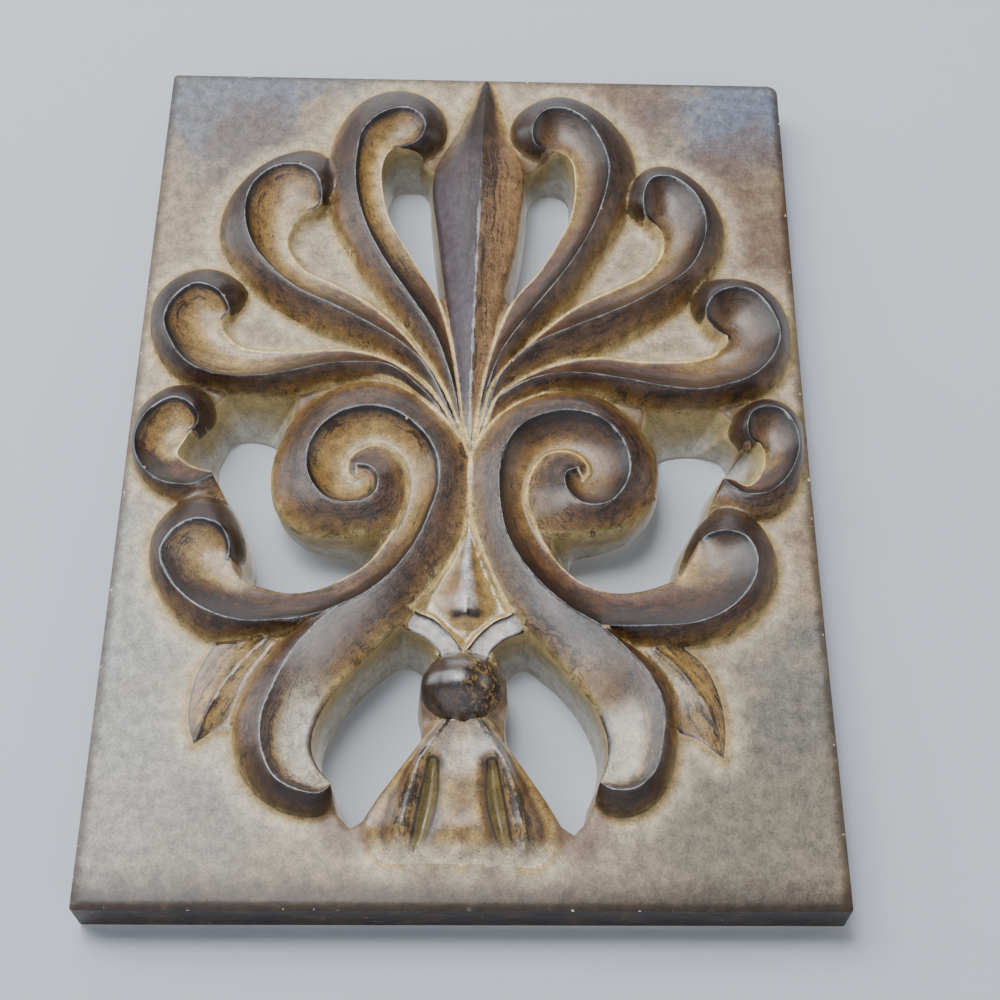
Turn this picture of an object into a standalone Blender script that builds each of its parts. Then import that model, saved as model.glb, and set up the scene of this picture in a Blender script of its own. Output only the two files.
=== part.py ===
"""Wall plaque: a palmette over two volutes, carved in relief on a flat slab and pierced right through.

The real one is a single plaster casting. It hangs upright here: X runs across it, Z up, the front faces -Y and
the flat back lies on the plane Y = 0, with the origin at the middle of the back.

The ornament was modelled by hand, so its two halves differ. Each half is drawn as a pattern in millimetres: how
far out from the middle line, and how far up from the bottom edge. Smooth curves join the points, and a profile
says how high each curve stands over the flat ground of the slab. Every surface of the carving is stretched
between a low curve and a high one.
"""

import math

import bpy
import numpy as np
from mathutils import Vector
from mathutils.geometry import delaunay_2d_cdt
from mathutils.kdtree import KDTree

MM = 0.001

# Driving sizes of the slab, in millimetres, and of the relief over its ground.
WIDTH = 150.0
LEFT_HEIGHT = 213.5
RIGHT_HEIGHT = 210.3
MIDDLE = (LEFT_HEIGHT + RIGHT_HEIGHT) / 4
BODY = 10.0
CREST = 6.5
CURL = 4.0
ROOT = 3.3
PANEL_LIP = 2.5
OPENING_LIP = 3.5
BOWL = 0.9
BOWL_EASE = 0.25

# The pattern was laid on the slab by eye: it leans to the right higher up, and its right half sits lower.
LEAN_FROM = 100.0
LEAN = 0.028
TILT = 0.025

# How finely the face is worked out, how far a raised edge rolls off, and the triangles the solid keeps.
SPACING = 0.9
RIM_FLAT = 0.25
RIM = 0.9
TOUCH = 0.02
TRIANGLES = 9600

# The outline of the slab: its corners, each with its radius. The right-hand edge bows in a little.
SLAB = [
    (-WIDTH / 2, -0.3, 0.6),
    (WIDTH / 2 + 0.2, 0.1, 0.6),
    (WIDTH / 2 - 0.4, 100.0, 60.0),
    (WIDTH / 2 + 0.8, RIGHT_HEIGHT, 3.0),
    (-WIDTH / 2 - 0.6, LEFT_HEIGHT, 1.2),
]

# A leaf has a crest from its root out and round its curl, a foot where its rounded back meets the ground, and a
# lip, the inner edge of its hollow. A height profile runs from the start of the curve (0) to its end (1).
FIRST_LEAF = {
    "crest": (
        [(0.3, 102.5), (2, 107.5), (3.5, 115.5), (8.5, 129.5), (14.5, 139.5), (21.5, 150.5), (26.5, 161),
         (29.5, 172), (30, 181), (29, 189), (25, 194.5), (19.5, 196.5), (15.5, 194.5), (14, 190.5),
         (15.5, 187), (21, 186)],
        [(1.2, 102.5), (2, 107.5), (3.5, 116), (6.5, 125.5), (13, 136.5), (21.5, 150), (27, 162),
         (30, 173.5), (30.3, 181), (27.5, 189.5), (24, 194.7), (19, 197.5), (14.5, 196.3), (12, 191),
         (12.7, 187.3), (16, 186.2)],
        [(0, 3.6), (0.04, 4), (0.25, CREST), (0.93, CREST), (1, CURL)],
    ),
    "foot": (
        [(0.4, 102.6), (2.5, 108), (5.5, 116.5), (10.5, 126), (16, 134.5), (23, 143.5), (30, 154.5),
         (35, 165), (37, 176.5), (37, 187.5), (34.5, 197), (29.5, 203.5), (22.5, 206.5), (15.5, 205),
         (10.5, 200), (9, 194.5), (10, 188.5), (14, 185), (19, 185)],
        [(1.3, 102.6), (2.5, 108), (5, 117), (10.5, 127), (17, 136.5), (23, 143.5), (28.5, 155), (34, 166),
         (37, 179), (36.5, 188), (33, 195.5), (26, 202.7), (18.5, 205.5), (11, 202.5), (7, 197.5),
         (6.7, 191.5), (9.5, 187), (14, 185.2)],
        [(0, 3), (0.04, ROOT), (0.35, 0), (1, 0)],
    ),
    "lip": (
        [(0.2, 102.6), (1.5, 108), (3, 118), (5, 129), (8.5, 141), (13, 149), (17.5, 157), (21.5, 165),
         (23.5, 173.5), (24, 179.5), (23, 184), (21, 186)],
        [(1.1, 102.6), (1.5, 108), (2.6, 118), (4.8, 129.5), (9.5, 142.5), (14, 149), (18.5, 158),
         (21.5, 166), (22.5, 176), (21.5, 183), (19.5, 185.3), (16, 186.2)],
        [(0, 3), (0.06, ROOT), (0.2, OPENING_LIP), (0.94, OPENING_LIP), (1, CURL)],
    ),
}
SECOND_LEAF = {
    "crest": (
        [(0.5, 102.5), (3, 107.5), (6.5, 115), (10.5, 122), (16.5, 127.5), (25, 133), (33, 137.5),
         (40, 141), (47, 147), (52.5, 154.5), (55, 163.5), (54, 171.5), (50, 176.5), (45, 178), (40, 176),
         (37.5, 170.5), (38, 167), (40, 166)],
        [(1.4, 102.5), (3, 107.5), (4.7, 115), (7.5, 121.5), (13.5, 127.5), (23.5, 133), (34, 138.3),
         (42.5, 144), (49, 149.7), (52.5, 157.5), (53, 165), (50.5, 172), (45.5, 176.5), (41, 176.3),
         (38.8, 172), (39.2, 166), (42, 163.5)],
        [(0, 3.6), (0.05, 4), (0.26, CREST), (0.93, CREST), (1, CURL)],
    ),
    "foot": (
        [(0.6, 102.5), (3.5, 107.5), (9, 115.5), (15, 122.5), (23, 128), (32.5, 131.5), (42, 136.5),
         (50, 142.5), (56.5, 150), (60.5, 156.5), (61.5, 164.5), (59.5, 172.5), (54, 180.5), (48, 185),
         (41.5, 186.5), (36.5, 183.5), (34, 177.5), (35, 171.5), (38.5, 167.5)],
        [(1.6, 102.5), (3.5, 107.5), (7, 116), (13, 121.7), (20, 125.3), (29, 129), (39, 135.3),
         (48, 142.5), (53.5, 149.5), (57, 157), (58, 165), (56, 173), (51, 180), (45, 183.7), (39.5, 182.7),
         (35.7, 177.5), (34.5, 172), (36.5, 167.5), (41, 165.5)],
        [(0, 3), (0.04, ROOT), (0.31, 0), (1, 0)],
    ),
    "lip": (
        [(0.4, 102.6), (2.5, 108), (6, 116.5), (11, 125), (16.5, 132.5), (24.5, 140), (32.5, 145),
         (40, 149), (44, 154), (45, 159), (43, 163.5), (40, 166)],
        [(1.3, 102.6), (2.5, 108), (4.6, 117), (9, 124.5), (15.5, 133), (23.5, 140.5), (33, 146.3),
         (38.5, 149.7), (42, 154), (43.5, 159), (43.2, 161.5), (42, 163.5)],
        [(0, 3), (0.07, ROOT), (0.4, PANEL_LIP), (0.91, PANEL_LIP), (1, CURL)],
    ),
}
THIRD_LEAF = {
    "crest": (
        [(0.5, 102), (3, 105.5), (7, 111.5), (12.5, 117), (18.5, 121), (25.5, 121.5), (33.5, 120.5),
         (42.5, 118), (50, 117), (57, 117.5), (63.5, 120.5), (68, 126.5), (70, 132), (68.5, 138), (64, 142),
         (59, 140.5), (56, 136.5), (57, 134.5)],
        [(1.4, 102), (3, 105.5), (5.5, 113.5), (10, 117), (16, 119.3), (24.5, 120), (34, 118.7), (43, 117),
         (51, 116.5), (57, 118), (62.5, 120.5), (67, 125.5), (69, 132), (67, 139), (63, 143.8), (58, 144.3),
         (54, 141.5), (52.5, 137), (54.5, 134), (57.5, 132.5)],
        [(0, 3.6), (0.04, 4), (0.26, CREST), (0.93, CREST), (1, CURL)],
    ),
    "foot": (
        [(0.6, 101.8), (3.5, 105), (8.5, 111), (14.5, 116.5), (23, 119), (32, 118), (41.5, 115),
         (52, 115.5), (59.5, 117), (66, 119), (71.5, 125.5), (74.2, 133.5), (74, 141.5), (69.5, 147.5),
         (63.5, 150), (57.5, 148.5), (53, 144), (53.5, 139.5), (56, 136)],
        [(1.6, 101.8), (3.5, 105), (6.5, 110.5), (12, 115), (18.5, 117.7), (26, 118), (33, 116), (42, 114),
         (52, 114.5), (60, 116.3), (66, 119.3), (70.5, 125), (72, 132.5), (71, 142), (66, 148.5),
         (59, 150.5), (52.5, 149), (49.5, 143.5), (51, 138), (56.5, 136)],
        [(0, 3), (0.03, ROOT), (0.09, 2.5), (0.15, 2), (0.22, 1), (0.28, 0), (0.36, -2), (0.44, -3),
         (0.5, -1), (0.55, 0), (1, 0)],
    ),
    "lip": (
        [(0.6, 102.3), (3.5, 107), (7, 113.5), (12.5, 120), (20, 125), (28, 127), (37, 126.5), (46, 126),
         (52.5, 127), (56.5, 130.5), (57.5, 132.5), (57, 134.5)],
        [(1.6, 102.3), (3.5, 107), (6.5, 115.3), (12.5, 121), (20, 124.8), (28.5, 126.5), (39, 125.7),
         (50, 126.5), (55, 128.5), (57.5, 131), (57.5, 132.5)],
        [(0, 3), (0.08, ROOT), (0.4, PANEL_LIP), (0.91, PANEL_LIP), (1, CURL)],
    ),
}
FOURTH_LEAF = {
    "crest": (
        [(54.5, 94), (58, 91), (62, 89.5), (66.5, 90.5), (70, 93.5), (72.3, 98), (72.3, 104), (70, 108.5),
         (65.5, 111.5), (61.5, 110), (59.5, 106.5), (61, 104)],
        [(55, 96), (57.5, 93), (60.5, 91), (64, 91), (67.5, 93.5), (70.5, 98), (72, 103), (71.5, 107.5),
         (69, 112), (65.5, 113), (62, 111.3), (61, 108), (61.5, 105.8), (63.5, 104.5)],
        [(0, 3), (0.1, 4), (0.19, 5.5), (0.88, 5.5), (1, 3.5)],
    ),
    "foot": (
        [(51, 88.5), (56, 87), (62.5, 87.2), (68, 90), (72.3, 95), (74.4, 102), (74.2, 109), (71, 114.5),
         (66, 117.5), (61, 117), (57.5, 113.5), (56.5, 108.5), (59.5, 104)],
        [(51.5, 90), (55.5, 88.7), (61, 86.7), (66, 87.5), (70, 91.5), (72.5, 97.5), (73.7, 105),
         (73.3, 112), (70, 116.3), (66, 117.5), (62, 116.3), (58.5, 113), (57.3, 108.5), (59.5, 104.5)],
        [(0, 1), (0.08, 1), (0.19, 0), (0.8, 0), (0.85, -1), (0.92, -3), (1, -2)],
    ),
    "lip": (
        [(54.5, 94), (58.5, 95), (62, 97), (63.5, 98.8), (62.5, 101.5), (61, 104)],
        [(55, 96), (57.5, 95.7), (60.3, 94.3), (62.3, 95.5), (64.2, 99), (64.5, 102.5), (63.5, 104.5)],
        [(0, 3), (0.5, 2.5), (0.8, 2.7), (1, 3.5)],
    ),
}
FIFTH_LEAF = {
    "crest": (
        [(26, 61), (32, 58.5), (38, 57.5), (45, 57), (51.5, 58.5), (57.5, 62), (62, 67), (64, 72.5),
         (62, 77.5), (57.5, 80.5), (52.5, 79.5), (50, 76), (50, 72.5)],
        [(28, 58), (38, 58.3), (48, 59.5), (55.5, 63.7), (60.2, 70.3), (60.8, 76), (58.5, 80), (54, 81),
         (51, 80.7), (49.8, 79.5)],
        [(0, CREST), (0.9, CREST), (1, CURL)],
    ),
    "foot": (
        [(28.5, 60), (36.5, 57), (45, 55), (52.5, 54.5), (58.5, 58), (64, 64.5), (67, 72), (67, 80),
         (63.5, 86), (57.5, 89.5), (52, 87.5), (48.3, 81.5), (46.8, 75), (48, 71)],
        [(30, 57.5), (36.5, 55.5), (45, 56), (54, 58.5), (61.5, 64), (65.5, 72), (65.3, 80), (61.5, 87),
         (55.5, 89.3), (51, 87), (47.8, 82), (46, 77.5), (45, 74), (44.8, 71)],
        [(0, 2), (0.09, 0.5), (0.18, 0), (0.75, 0), (0.81, -1), (0.88, -2), (0.95, -2), (1, 2)],
    ),
}
# The volute rises from the fifth leaf, runs round the opening and coils in to its eye. Its hollow begins in the
# fifth leaf, so one lip serves both.
VOLUTE = {
    "crest": (
        [(26, 61), (20, 64.5), (15, 69.5), (11, 75.5), (8, 83), (6, 91), (7, 99), (11.5, 105.5),
         (18, 109.5), (25, 109.5), (31, 106), (34.5, 99), (34, 92), (30, 86.5), (24.5, 85.5), (20, 87.5),
         (19, 91.5), (21, 95.5), (24, 96.5)],
        [(28, 58), (21, 62.5), (14, 69.5), (9, 78), (7, 88), (7.5, 98), (11.5, 106), (20, 110),
         (28.5, 108.5), (34, 102), (34.8, 94), (30.5, 87.3), (25, 86.7), (21.3, 90.5), (21.5, 95.5),
         (24, 97)],
        [(0, CREST), (0.93, CREST), (1, CURL)],
    ),
    "foot": (
        [(13, 58.5), (9, 64.5), (5, 71.5), (1.7, 78.5), (-0.2, 87), (-0.4, 99.3), (3.5, 106), (9.5, 112.5),
         (16, 117.5), (23, 119.5), (30, 118), (37, 113), (41.5, 104.5), (43, 94.5), (41, 85.5), (36, 80.5),
         (29.5, 79.5), (22, 79.5), (18, 80), (15, 82), (13, 90), (14, 97.5), (18, 101.5), (22, 101.5),
         (25.5, 98.5), (26, 94.5), (24, 92.5)],
        [(13.5, 57.5), (10, 61.5), (5.5, 69), (2.6, 77), (0.9, 86), (0.8, 99.3), (2.8, 104.2), (7, 110.5),
         (13, 115), (21.5, 118), (30, 116.5), (37, 110.5), (41, 103.5), (41.7, 96), (39.5, 88.5), (35, 84),
         (29.5, 82), (23, 80.5), (18, 80.3), (14.8, 82.5), (12.8, 89), (13.7, 95.5), (17, 100.5),
         (21.5, 101.5), (25, 99.7), (26.3, 96.7), (25, 94.3)],
        [(0, 4), (0.04, 3), (0.08, 2), (0.17, 2), (0.23, ROOT), (0.275, ROOT), (0.32, 2.5), (0.37, 2),
         (0.41, 1), (0.445, 0.5), (0.49, -1), (0.54, -1), (0.6, 0), (0.65, 0.5), (0.7, 1), (0.78, 2),
         (1, 2.5)],
    ),
    "lip": (
        [(50, 72.5), (47, 68), (42, 66), (37, 65), (31, 66), (25.5, 69), (22, 71.5), (18, 76.5), (15, 82),
         (13, 90), (14, 97.5), (18, 101.5), (22, 101.5), (25.5, 98.5), (26, 94.5), (24, 92.5)],
        [(49.8, 79.5), (48, 76), (45.3, 71.5), (41.5, 69.3), (36, 67.5), (30, 67.3), (25, 69), (21, 72.3),
         (17.3, 77.3), (14.8, 82.5), (12.8, 89), (13.7, 95.5), (17, 100.5), (21.5, 101.5), (25, 99.7),
         (26.3, 96.7), (25, 94.3)],
        [(0, 4), (0.065, 3.5), (0.2, 3.5), (0.34, 3), (0.47, 2.5), (0.55, 2), (0.81, 2), (1, 2.5)],
    ),
}
# The long scroll runs on down beside the lower opening.
SCROLL = {
    "crest": (
        [(26, 61), (31, 56), (35.5, 49.5), (38.5, 42.5), (40.3, 35.5), (39.5, 29), (36.5, 23.5), (31.5, 21),
         (27.5, 21), (25.5, 23)],
        [(28, 58), (32.5, 53.5), (37.5, 47.5), (40, 41), (39.7, 34.5), (38, 27.5), (34, 23.5), (29.5, 23.3),
         (27, 24.8)],
        [(0, CREST), (0.5, 6.2), (0.85, 6), (1, 5)],
    ),
    "foot": (
        [(30.5, 60.5), (36.5, 56), (42, 49.5), (45.5, 42), (46.5, 34), (44.5, 26.5), (39.5, 20.5),
         (33, 17.5), (27, 18), (24.5, 22)],
        [(30.5, 57.5), (36, 54.3), (41.5, 48), (42.9, 40), (42.7, 33), (41, 26.5), (37.5, 21.5), (32, 19),
         (27.5, 20), (25.5, 23.5)],
        [(0, 2), (0.11, 1), (0.24, 0), (0.83, 0), (1, -1)],
    ),
    "lip": (
        [(13, 58.5), (17.3, 53.5), (22, 48), (26.5, 42), (29.5, 35.5), (30, 30.5), (28.5, 26.5),
         (25.5, 23)],
        [(13.5, 57.5), (17.7, 52), (22, 46.7), (26.5, 40.5), (28.7, 34), (28.5, 29), (27, 24.8)],
        [(0, 4), (0.5, 4.2), (1, 4.5)],
    ),
}
SPEAR = {
    "edge": (
        [(-0.3, 101), (1, 107), (3.5, 123.5), (5.5, 134.5), (7, 143), (8.5, 152.5), (10, 163), (11.5, 173),
         (11.5, 180.5), (9.5, 187), (6.5, 194), (3.5, 203), (1, 211)],
        [(1, 101), (1.5, 107), (2.6, 118), (4.3, 128), (6, 142), (7.5, 149), (9, 157.5), (10, 170),
         (10.3, 180), (9, 186), (5.5, 196.5), (2.5, 207), (0.8, 211)],
        [(0, 3), (0.05, ROOT), (0.19, 3), (0.29, 2.5), (0.37, 2), (0.45, 1.5), (0.54, 1), (0.68, 1),
         (0.81, 0.3), (0.88, 0), (1, 0)],
    ),
    "ridge": (
        [(-0.5, 100.5), (-0.3, 106), (0, 115), (0, 140), (0, 180), (0, 211)],
        [(0.5, 100.5), (0.3, 106), (0, 115), (0, 140), (0, 180), (0, 211)],
        [(0, 3.3), (0.05, 4), (0.18, 5), (0.35, CREST), (0.71, CREST), (0.85, 5), (0.95, 3), (1, 0.5)],
    ),
}
SIDE_LEAF = {
    "edge": (
        [(47, 57), (51.5, 54), (54, 49), (55.5, 43.5), (55.5, 37), (54, 32)],
        [(44.5, 56.5), (49, 52.5), (52, 45), (52.7, 38), (52, 32)],
        [(0, 0.6), (1, 0.6)],
    ),
    "rib": (
        [(40.5, 55.5), (44.5, 51), (49, 44.5), (52, 37.5), (54, 32)],
        [(38.5, 55.3), (43, 51.5), (48, 44.5), (51, 36.5), (52, 32)],
        [(0, 2.5), (0.8, 2.2), (1, 1)],
    ),
    "seam": (
        [(38, 55), (42, 46), (46, 36.5), (50, 35), (54, 32)],
        [(36.5, 55), (41.5, 47), (43, 37.7), (47, 36), (52, 32)],
        [(0, 2), (0.35, 1.5), (0.7, 0.6), (1, 0.6)],
    ),
}
# In the middle hang a soft-edged drop, a ribbon knotted round a ball, and a tassel with two slots.
DROP = {
    "edge": (
        [(11.2, 61.9), (8.3, 65.6), (5.3, 70.6), (2.2, 76.3), (-0.4, 84)],
        [(10, 61.6), (8.7, 63.7), (6.6, 68.1), (4, 74.6), (0.8, 84)],
        [(0, 1.8), (1, 2)],
    ),
    "hem": (
        [(11.2, 61.9), (7.3, 60.8), (4.3, 57.8), (1.5, 53.6)],
        [(10, 61.6), (6, 59.8), (3, 57), (0.6, 53.6)],
        [(0, 1.8), (1, 1.6)],
    ),
    "ridge": (
        [(-0.5, 84), (-0.3, 70), (-0.2, 53.6)],
        [(0.5, 84), (0.3, 70), (0.2, 53.6)],
        [(0, 2), (0.35, 3.2), (0.65, 4.6), (0.75, 4.4), (0.86, 2.4), (1, 1.6)],
    ),
}
RIBBON = {
    "inner": ([(0.5, 53.4), (3, 56.8), (6.4, 60), (10.8, 61.8)], [(0, 2.6), (1, 2.6)]),
    "outer": ([(4.7, 50.5), (5.6, 53.3), (8, 55.8), (12.2, 57.8)], [(0, 2.6), (1, 2.6)]),
}
TASSEL = {
    "edge": ([(4.5, 38.5), (8, 34.5), (11.5, 29.5), (14.5, 25), (17.8, 19.5), (18.5, 14), (16, 9.5),
    (12.5, 8.5)],
             [(0, 1), (0.7, 1), (0.85, 0), (1, 0)]),
    "rib": ([(3, 38.5), (6, 33), (8.6, 28.5), (10.3, 23), (12, 16), (12.5, 8.5)],
            [(0, 4), (0.2, 5.5), (0.35, 5.5), (0.75, 4.2), (0.9, 3.4), (1, 0)]),
    "axis": ([(0, 38.5), (0, 33), (0, 28.5), (0, 23), (0, 16), (0, 8.5)],
             [(0, 3.4), (0.2, 4.9), (0.35, 4.9), (0.75, 3.6), (0.9, 2.8), (1, 0)]),
    "slot": ([(5.8, 28.2), (6.4, 22), (7.8, 15), (9, 11)], [(0, 0), (1, 0)]),
}
BALL = {"across": -0.5, "up": 45.3, "half_width": 8.5, "half_height": 7.7, "top": 8.5, "rim": 1.0}

# The rim of an opening follows the curves round it, from one point to another, or free points between them.
RIMS = {
    "top": [
        ("first lip", (8.8, 141.8), (20, 186)), (18, 185.7), (14.5, 185),
        ("spear edge", (11.5, 181), (7, 143.5)),
    ],
    "middle": [
        ("third foot", (39, 115.6), (55, 115.7)), ("fourth foot", (57.3, 113), (59.5, 104)),
        ("fourth lip", (61.5, 103.5), (55.5, 94.5)), ("fifth foot", (51.5, 87), (47.5, 72.5)),
        ("volute lip", (47, 68), (18, 76.5)), ("volute foot", (18, 80), (39, 110)),
    ],
    "lower": [
        ("scroll lip", (13, 57.5), (26, 23.5)), (24.7, 18.5), (22, 15.5), (19.3, 17.3),
        ("tassel edge", (16.5, 21.5), (8.5, 34)), (8.2, 38.5), (8.9, 43), (8.6, 48), (6.7, 50.8),
        ("ribbon outer", (5.6, 53), (11.4, 57.6)),
    ],
}
# The same openings where they leave the flat back.
BACKS = {
    "top": (
        [(8.6, 143), (12.3, 149.3), (16.5, 157), (20.3, 165), (22.5, 173.5), (22.8, 179), (21, 182.3),
         (18, 183.2), (15, 182.8), (13, 179.5), (12.3, 173), (11, 163), (9.5, 152.5), (8.4, 146.5)],
        [(9, 144), (13.2, 150), (17.3, 158), (20.3, 166), (21.3, 175), (20.8, 180.5), (18.7, 182.8),
         (15.5, 183), (12.8, 181.3), (11.2, 178), (10.8, 170), (9.8, 158), (8.3, 149.5)],
    ),
    "middle": (
        [(43.5, 107.5), (46.5, 109.3), (51, 109.7), (54, 108.5), (55.5, 105), (56.3, 102.5), (56.3, 99),
         (55.5, 95.5), (53, 92.5), (50, 88.5), (47.5, 82), (46, 75.5), (46.5, 72), (44.5, 69.3), (41.5, 67.3),
         (37, 66.3), (31.5, 67.3), (27, 70.2), (24.5, 73.5), (23.5, 76.5), (24, 78.5), (25, 79.5),
         (30.5, 80.7), (36.5, 83.2), (41, 88), (43.3, 95), (43.5, 102)],
        [(42.7, 107), (46.5, 108.5), (52, 108.5), (56, 107.3), (57.7, 104), (56.5, 101.5), (54, 99),
         (52, 95.5), (50.5, 91), (47.5, 85.5), (45, 80.5), (43.8, 76), (43.2, 72.3), (40.5, 70.5),
         (35.5, 68.8), (30.5, 68.7), (26.5, 70.3), (23.5, 74), (22, 78), (23, 80.8), (29, 83), (34.5, 85.5),
         (39.5, 90.5), (42, 96.5), (41.8, 103)],
    ),
    "lower": (
        [(13, 54.5), (17, 51.8), (21.5, 47.3), (26, 41), (28.7, 35.5), (29, 30.5), (27.6, 27), (25, 23.6),
         (23.7, 19), (22, 17), (20, 18.5), (16, 25.5), (12.5, 31), (9.5, 35.5), (9, 39), (9.8, 43),
         (9.6, 47.5), (8.5, 51), (10, 53.7)],
        [(12.5, 54.5), (17, 51.5), (22, 46), (25.7, 39.5), (27.2, 33.5), (26.7, 28.5), (25, 24), (23.7, 19),
         (22, 17), (20, 18.5), (15.5, 26), (12.5, 31), (9.3, 36), (8.3, 40.5), (8.5, 45), (8.3, 50.5),
         (10, 53.5)],
    ),
}


def ease(t):
    t = np.clip(t, 0, 1)
    return t * t * (3 - 2 * t)


def smooth(points, closed=False):
    """A curve through the points by the centripetal Catmull-Rom rule."""
    knots = [np.array(point, float) for point in points]
    if closed:
        around = [knots[-1], *knots, knots[0], knots[1]]
    else:
        around = [2 * knots[0] - knots[1], *knots, 2 * knots[-1] - knots[-2]]
    curve = []
    for a, b, c, d in zip(around, around[1:], around[2:], around[3:]):
        first = max(math.dist(a, b), 0.01) ** 0.5
        second = first + max(math.dist(b, c), 0.01) ** 0.5
        third = second + max(math.dist(c, d), 0.01) ** 0.5
        for t in np.linspace(first, second, max(1, round(math.dist(b, c) / SPACING)), endpoint=False):
            ab = a + (b - a) * t / first
            bc = b + (c - b) * (t - first) / (second - first)
            cd = c + (d - c) * (t - second) / (third - second)
            abc = ab + (bc - ab) * t / second
            bcd = bc + (cd - bc) * (t - first) / (third - first)
            curve.append(abc + (bcd - abc) * (t - first) / (second - first))
    if not closed:
        curve.append(knots[-1])
    return np.array(curve)


def place(line, side):
    """The line where it lies on the slab, on the right-hand side (1) or the left (-1)."""
    placed = np.array(line, float)
    u, v = placed[:, 0].copy(), placed[:, 1].copy()
    placed[:, 0] = side * u + LEAN * np.maximum(v - LEAN_FROM, 0)
    placed[:, 1] = v - TILT * side * u
    return placed


def measure(line):
    """How far along the line each of its points is."""
    return np.concatenate([[0], np.cumsum(np.hypot(*np.diff(line[:, :2], axis=0).T))])


def raised(points, profile, side):
    """A pattern curve in place, with its heights."""
    curve = smooth(points)
    share = measure(curve)
    share /= share[-1]
    height = np.zeros(len(curve))
    for (start, low), (end, high) in zip(profile, profile[1:]):
        on = (share >= start) & (share <= end)
        height[on] = low + (high - low) * ease((share[on] - start) / (end - start))
    return place(np.column_stack([curve, height]), side)


def curves_of(side):
    """Every curve of one half of the ornament, by name."""
    found = {}
    for name, shape in (
        ("first", FIRST_LEAF), ("second", SECOND_LEAF), ("third", THIRD_LEAF), ("fourth", FOURTH_LEAF),
        ("fifth", FIFTH_LEAF), ("volute", VOLUTE), ("scroll", SCROLL), ("spear", SPEAR), ("side", SIDE_LEAF),
        ("drop", DROP),
    ):
        for part, (left, right, profile) in shape.items():
            found[f"{name} {part}"] = raised(right if side > 0 else left, profile, side)
    for name, shape in (("ribbon", RIBBON), ("tassel", TASSEL)):
        for part, (points, profile) in shape.items():
            found[f"{name} {part}"] = raised(points, profile, side)
    return found


def surfaces_of(curves, side):
    """Every surface of one half: its low curve, its high curve, and where it is scooped out."""
    c = curves
    found = []
    for name in ("first", "second", "third", "fourth"):
        found.append({"low": c[name + " foot"], "high": c[name + " crest"]})
        found.append({"low": c[name + " lip"], "high": c[name + " crest"], "scoop": (-1, 1), "bowl": 0.45})
    found.append({"low": c["fifth foot"], "high": c["fifth crest"]})
    found.append({
        "low": c["volute lip"],
        "high": np.vstack([c["fifth crest"][::-1], c["volute crest"][1:]]),
        "scoop": (-1, 1),
    })
    found.append({"low": c["scroll foot"], "high": c["scroll crest"]})
    found.append({
        "low": np.vstack([c["volute foot"][::-1], c["scroll lip"][1:]]),
        "high": np.vstack([c["volute crest"][::-1], c["scroll crest"][1:]]),
        "scoop": (measure(c["volute crest"])[-1] + (2 if side > 0 else 8), 22),
    })
    found.append({"low": c["spear edge"], "high": c["spear ridge"], "scoop": (74, 20)})
    found.append({"low": c["side edge"], "high": c["side rib"], "scoop": (-9, 12)})
    found.append({"low": c["side seam"], "high": c["side rib"], "scoop": (-9, 12)})
    outline = np.vstack([c["drop edge"][::-1], c["drop hem"][1:]])
    found.append({"low": outline, "high": c["drop ridge"], "soft": True, "ground": 1.5})
    found.append({"low": c["ribbon inner"], "high": c["ribbon outer"], "dip": 0.5, "rims": 2, "ground": 1.2})
    found.append({"low": c["tassel edge"], "high": c["tassel rib"], "scoop": (-9, 20)})
    found.append({"low": c["tassel axis"], "high": c["tassel rib"], "scoop": (-9, 20)})
    return found


def nearest(points, line):
    """For each point, how far the line is, how high it is there, and how far along it that is."""
    a, b = line[:-1], line[1:]
    span = b[:, :2] - a[:, :2]
    size = np.maximum((span**2).sum(1), 1e-12)
    t = ((points[:, None] - a[None, :, :2]) * span).sum(2) / size
    t = np.clip(t, 0, 1)
    gap = points[:, None] - (a[None, :, :2] + t[..., None] * span)
    far = np.sqrt((gap**2).sum(2))
    best = far.argmin(1)
    row = np.arange(len(points))
    t = t[row, best]
    height = a[best, 2] + t * (b[best, 2] - a[best, 2])
    return far[row, best], height, measure(line)[best] + t * np.sqrt(size[best])


def inside(points, loop):
    """Which points lie inside the closed loop."""
    x, y = points[:, :1], points[:, 1:2]
    a, b = loop[:, :2], np.roll(loop[:, :2], -1, axis=0)
    rise = np.where(b[:, 1] == a[:, 1], 1e-12, b[:, 1] - a[:, 1])
    crosses = (a[:, 1] > y) != (b[:, 1] > y)
    right = x < a[:, 0] + (y - a[:, 1]) / rise * (b[:, 0] - a[:, 0])
    return (crosses & right).sum(1) % 2 == 1


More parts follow.
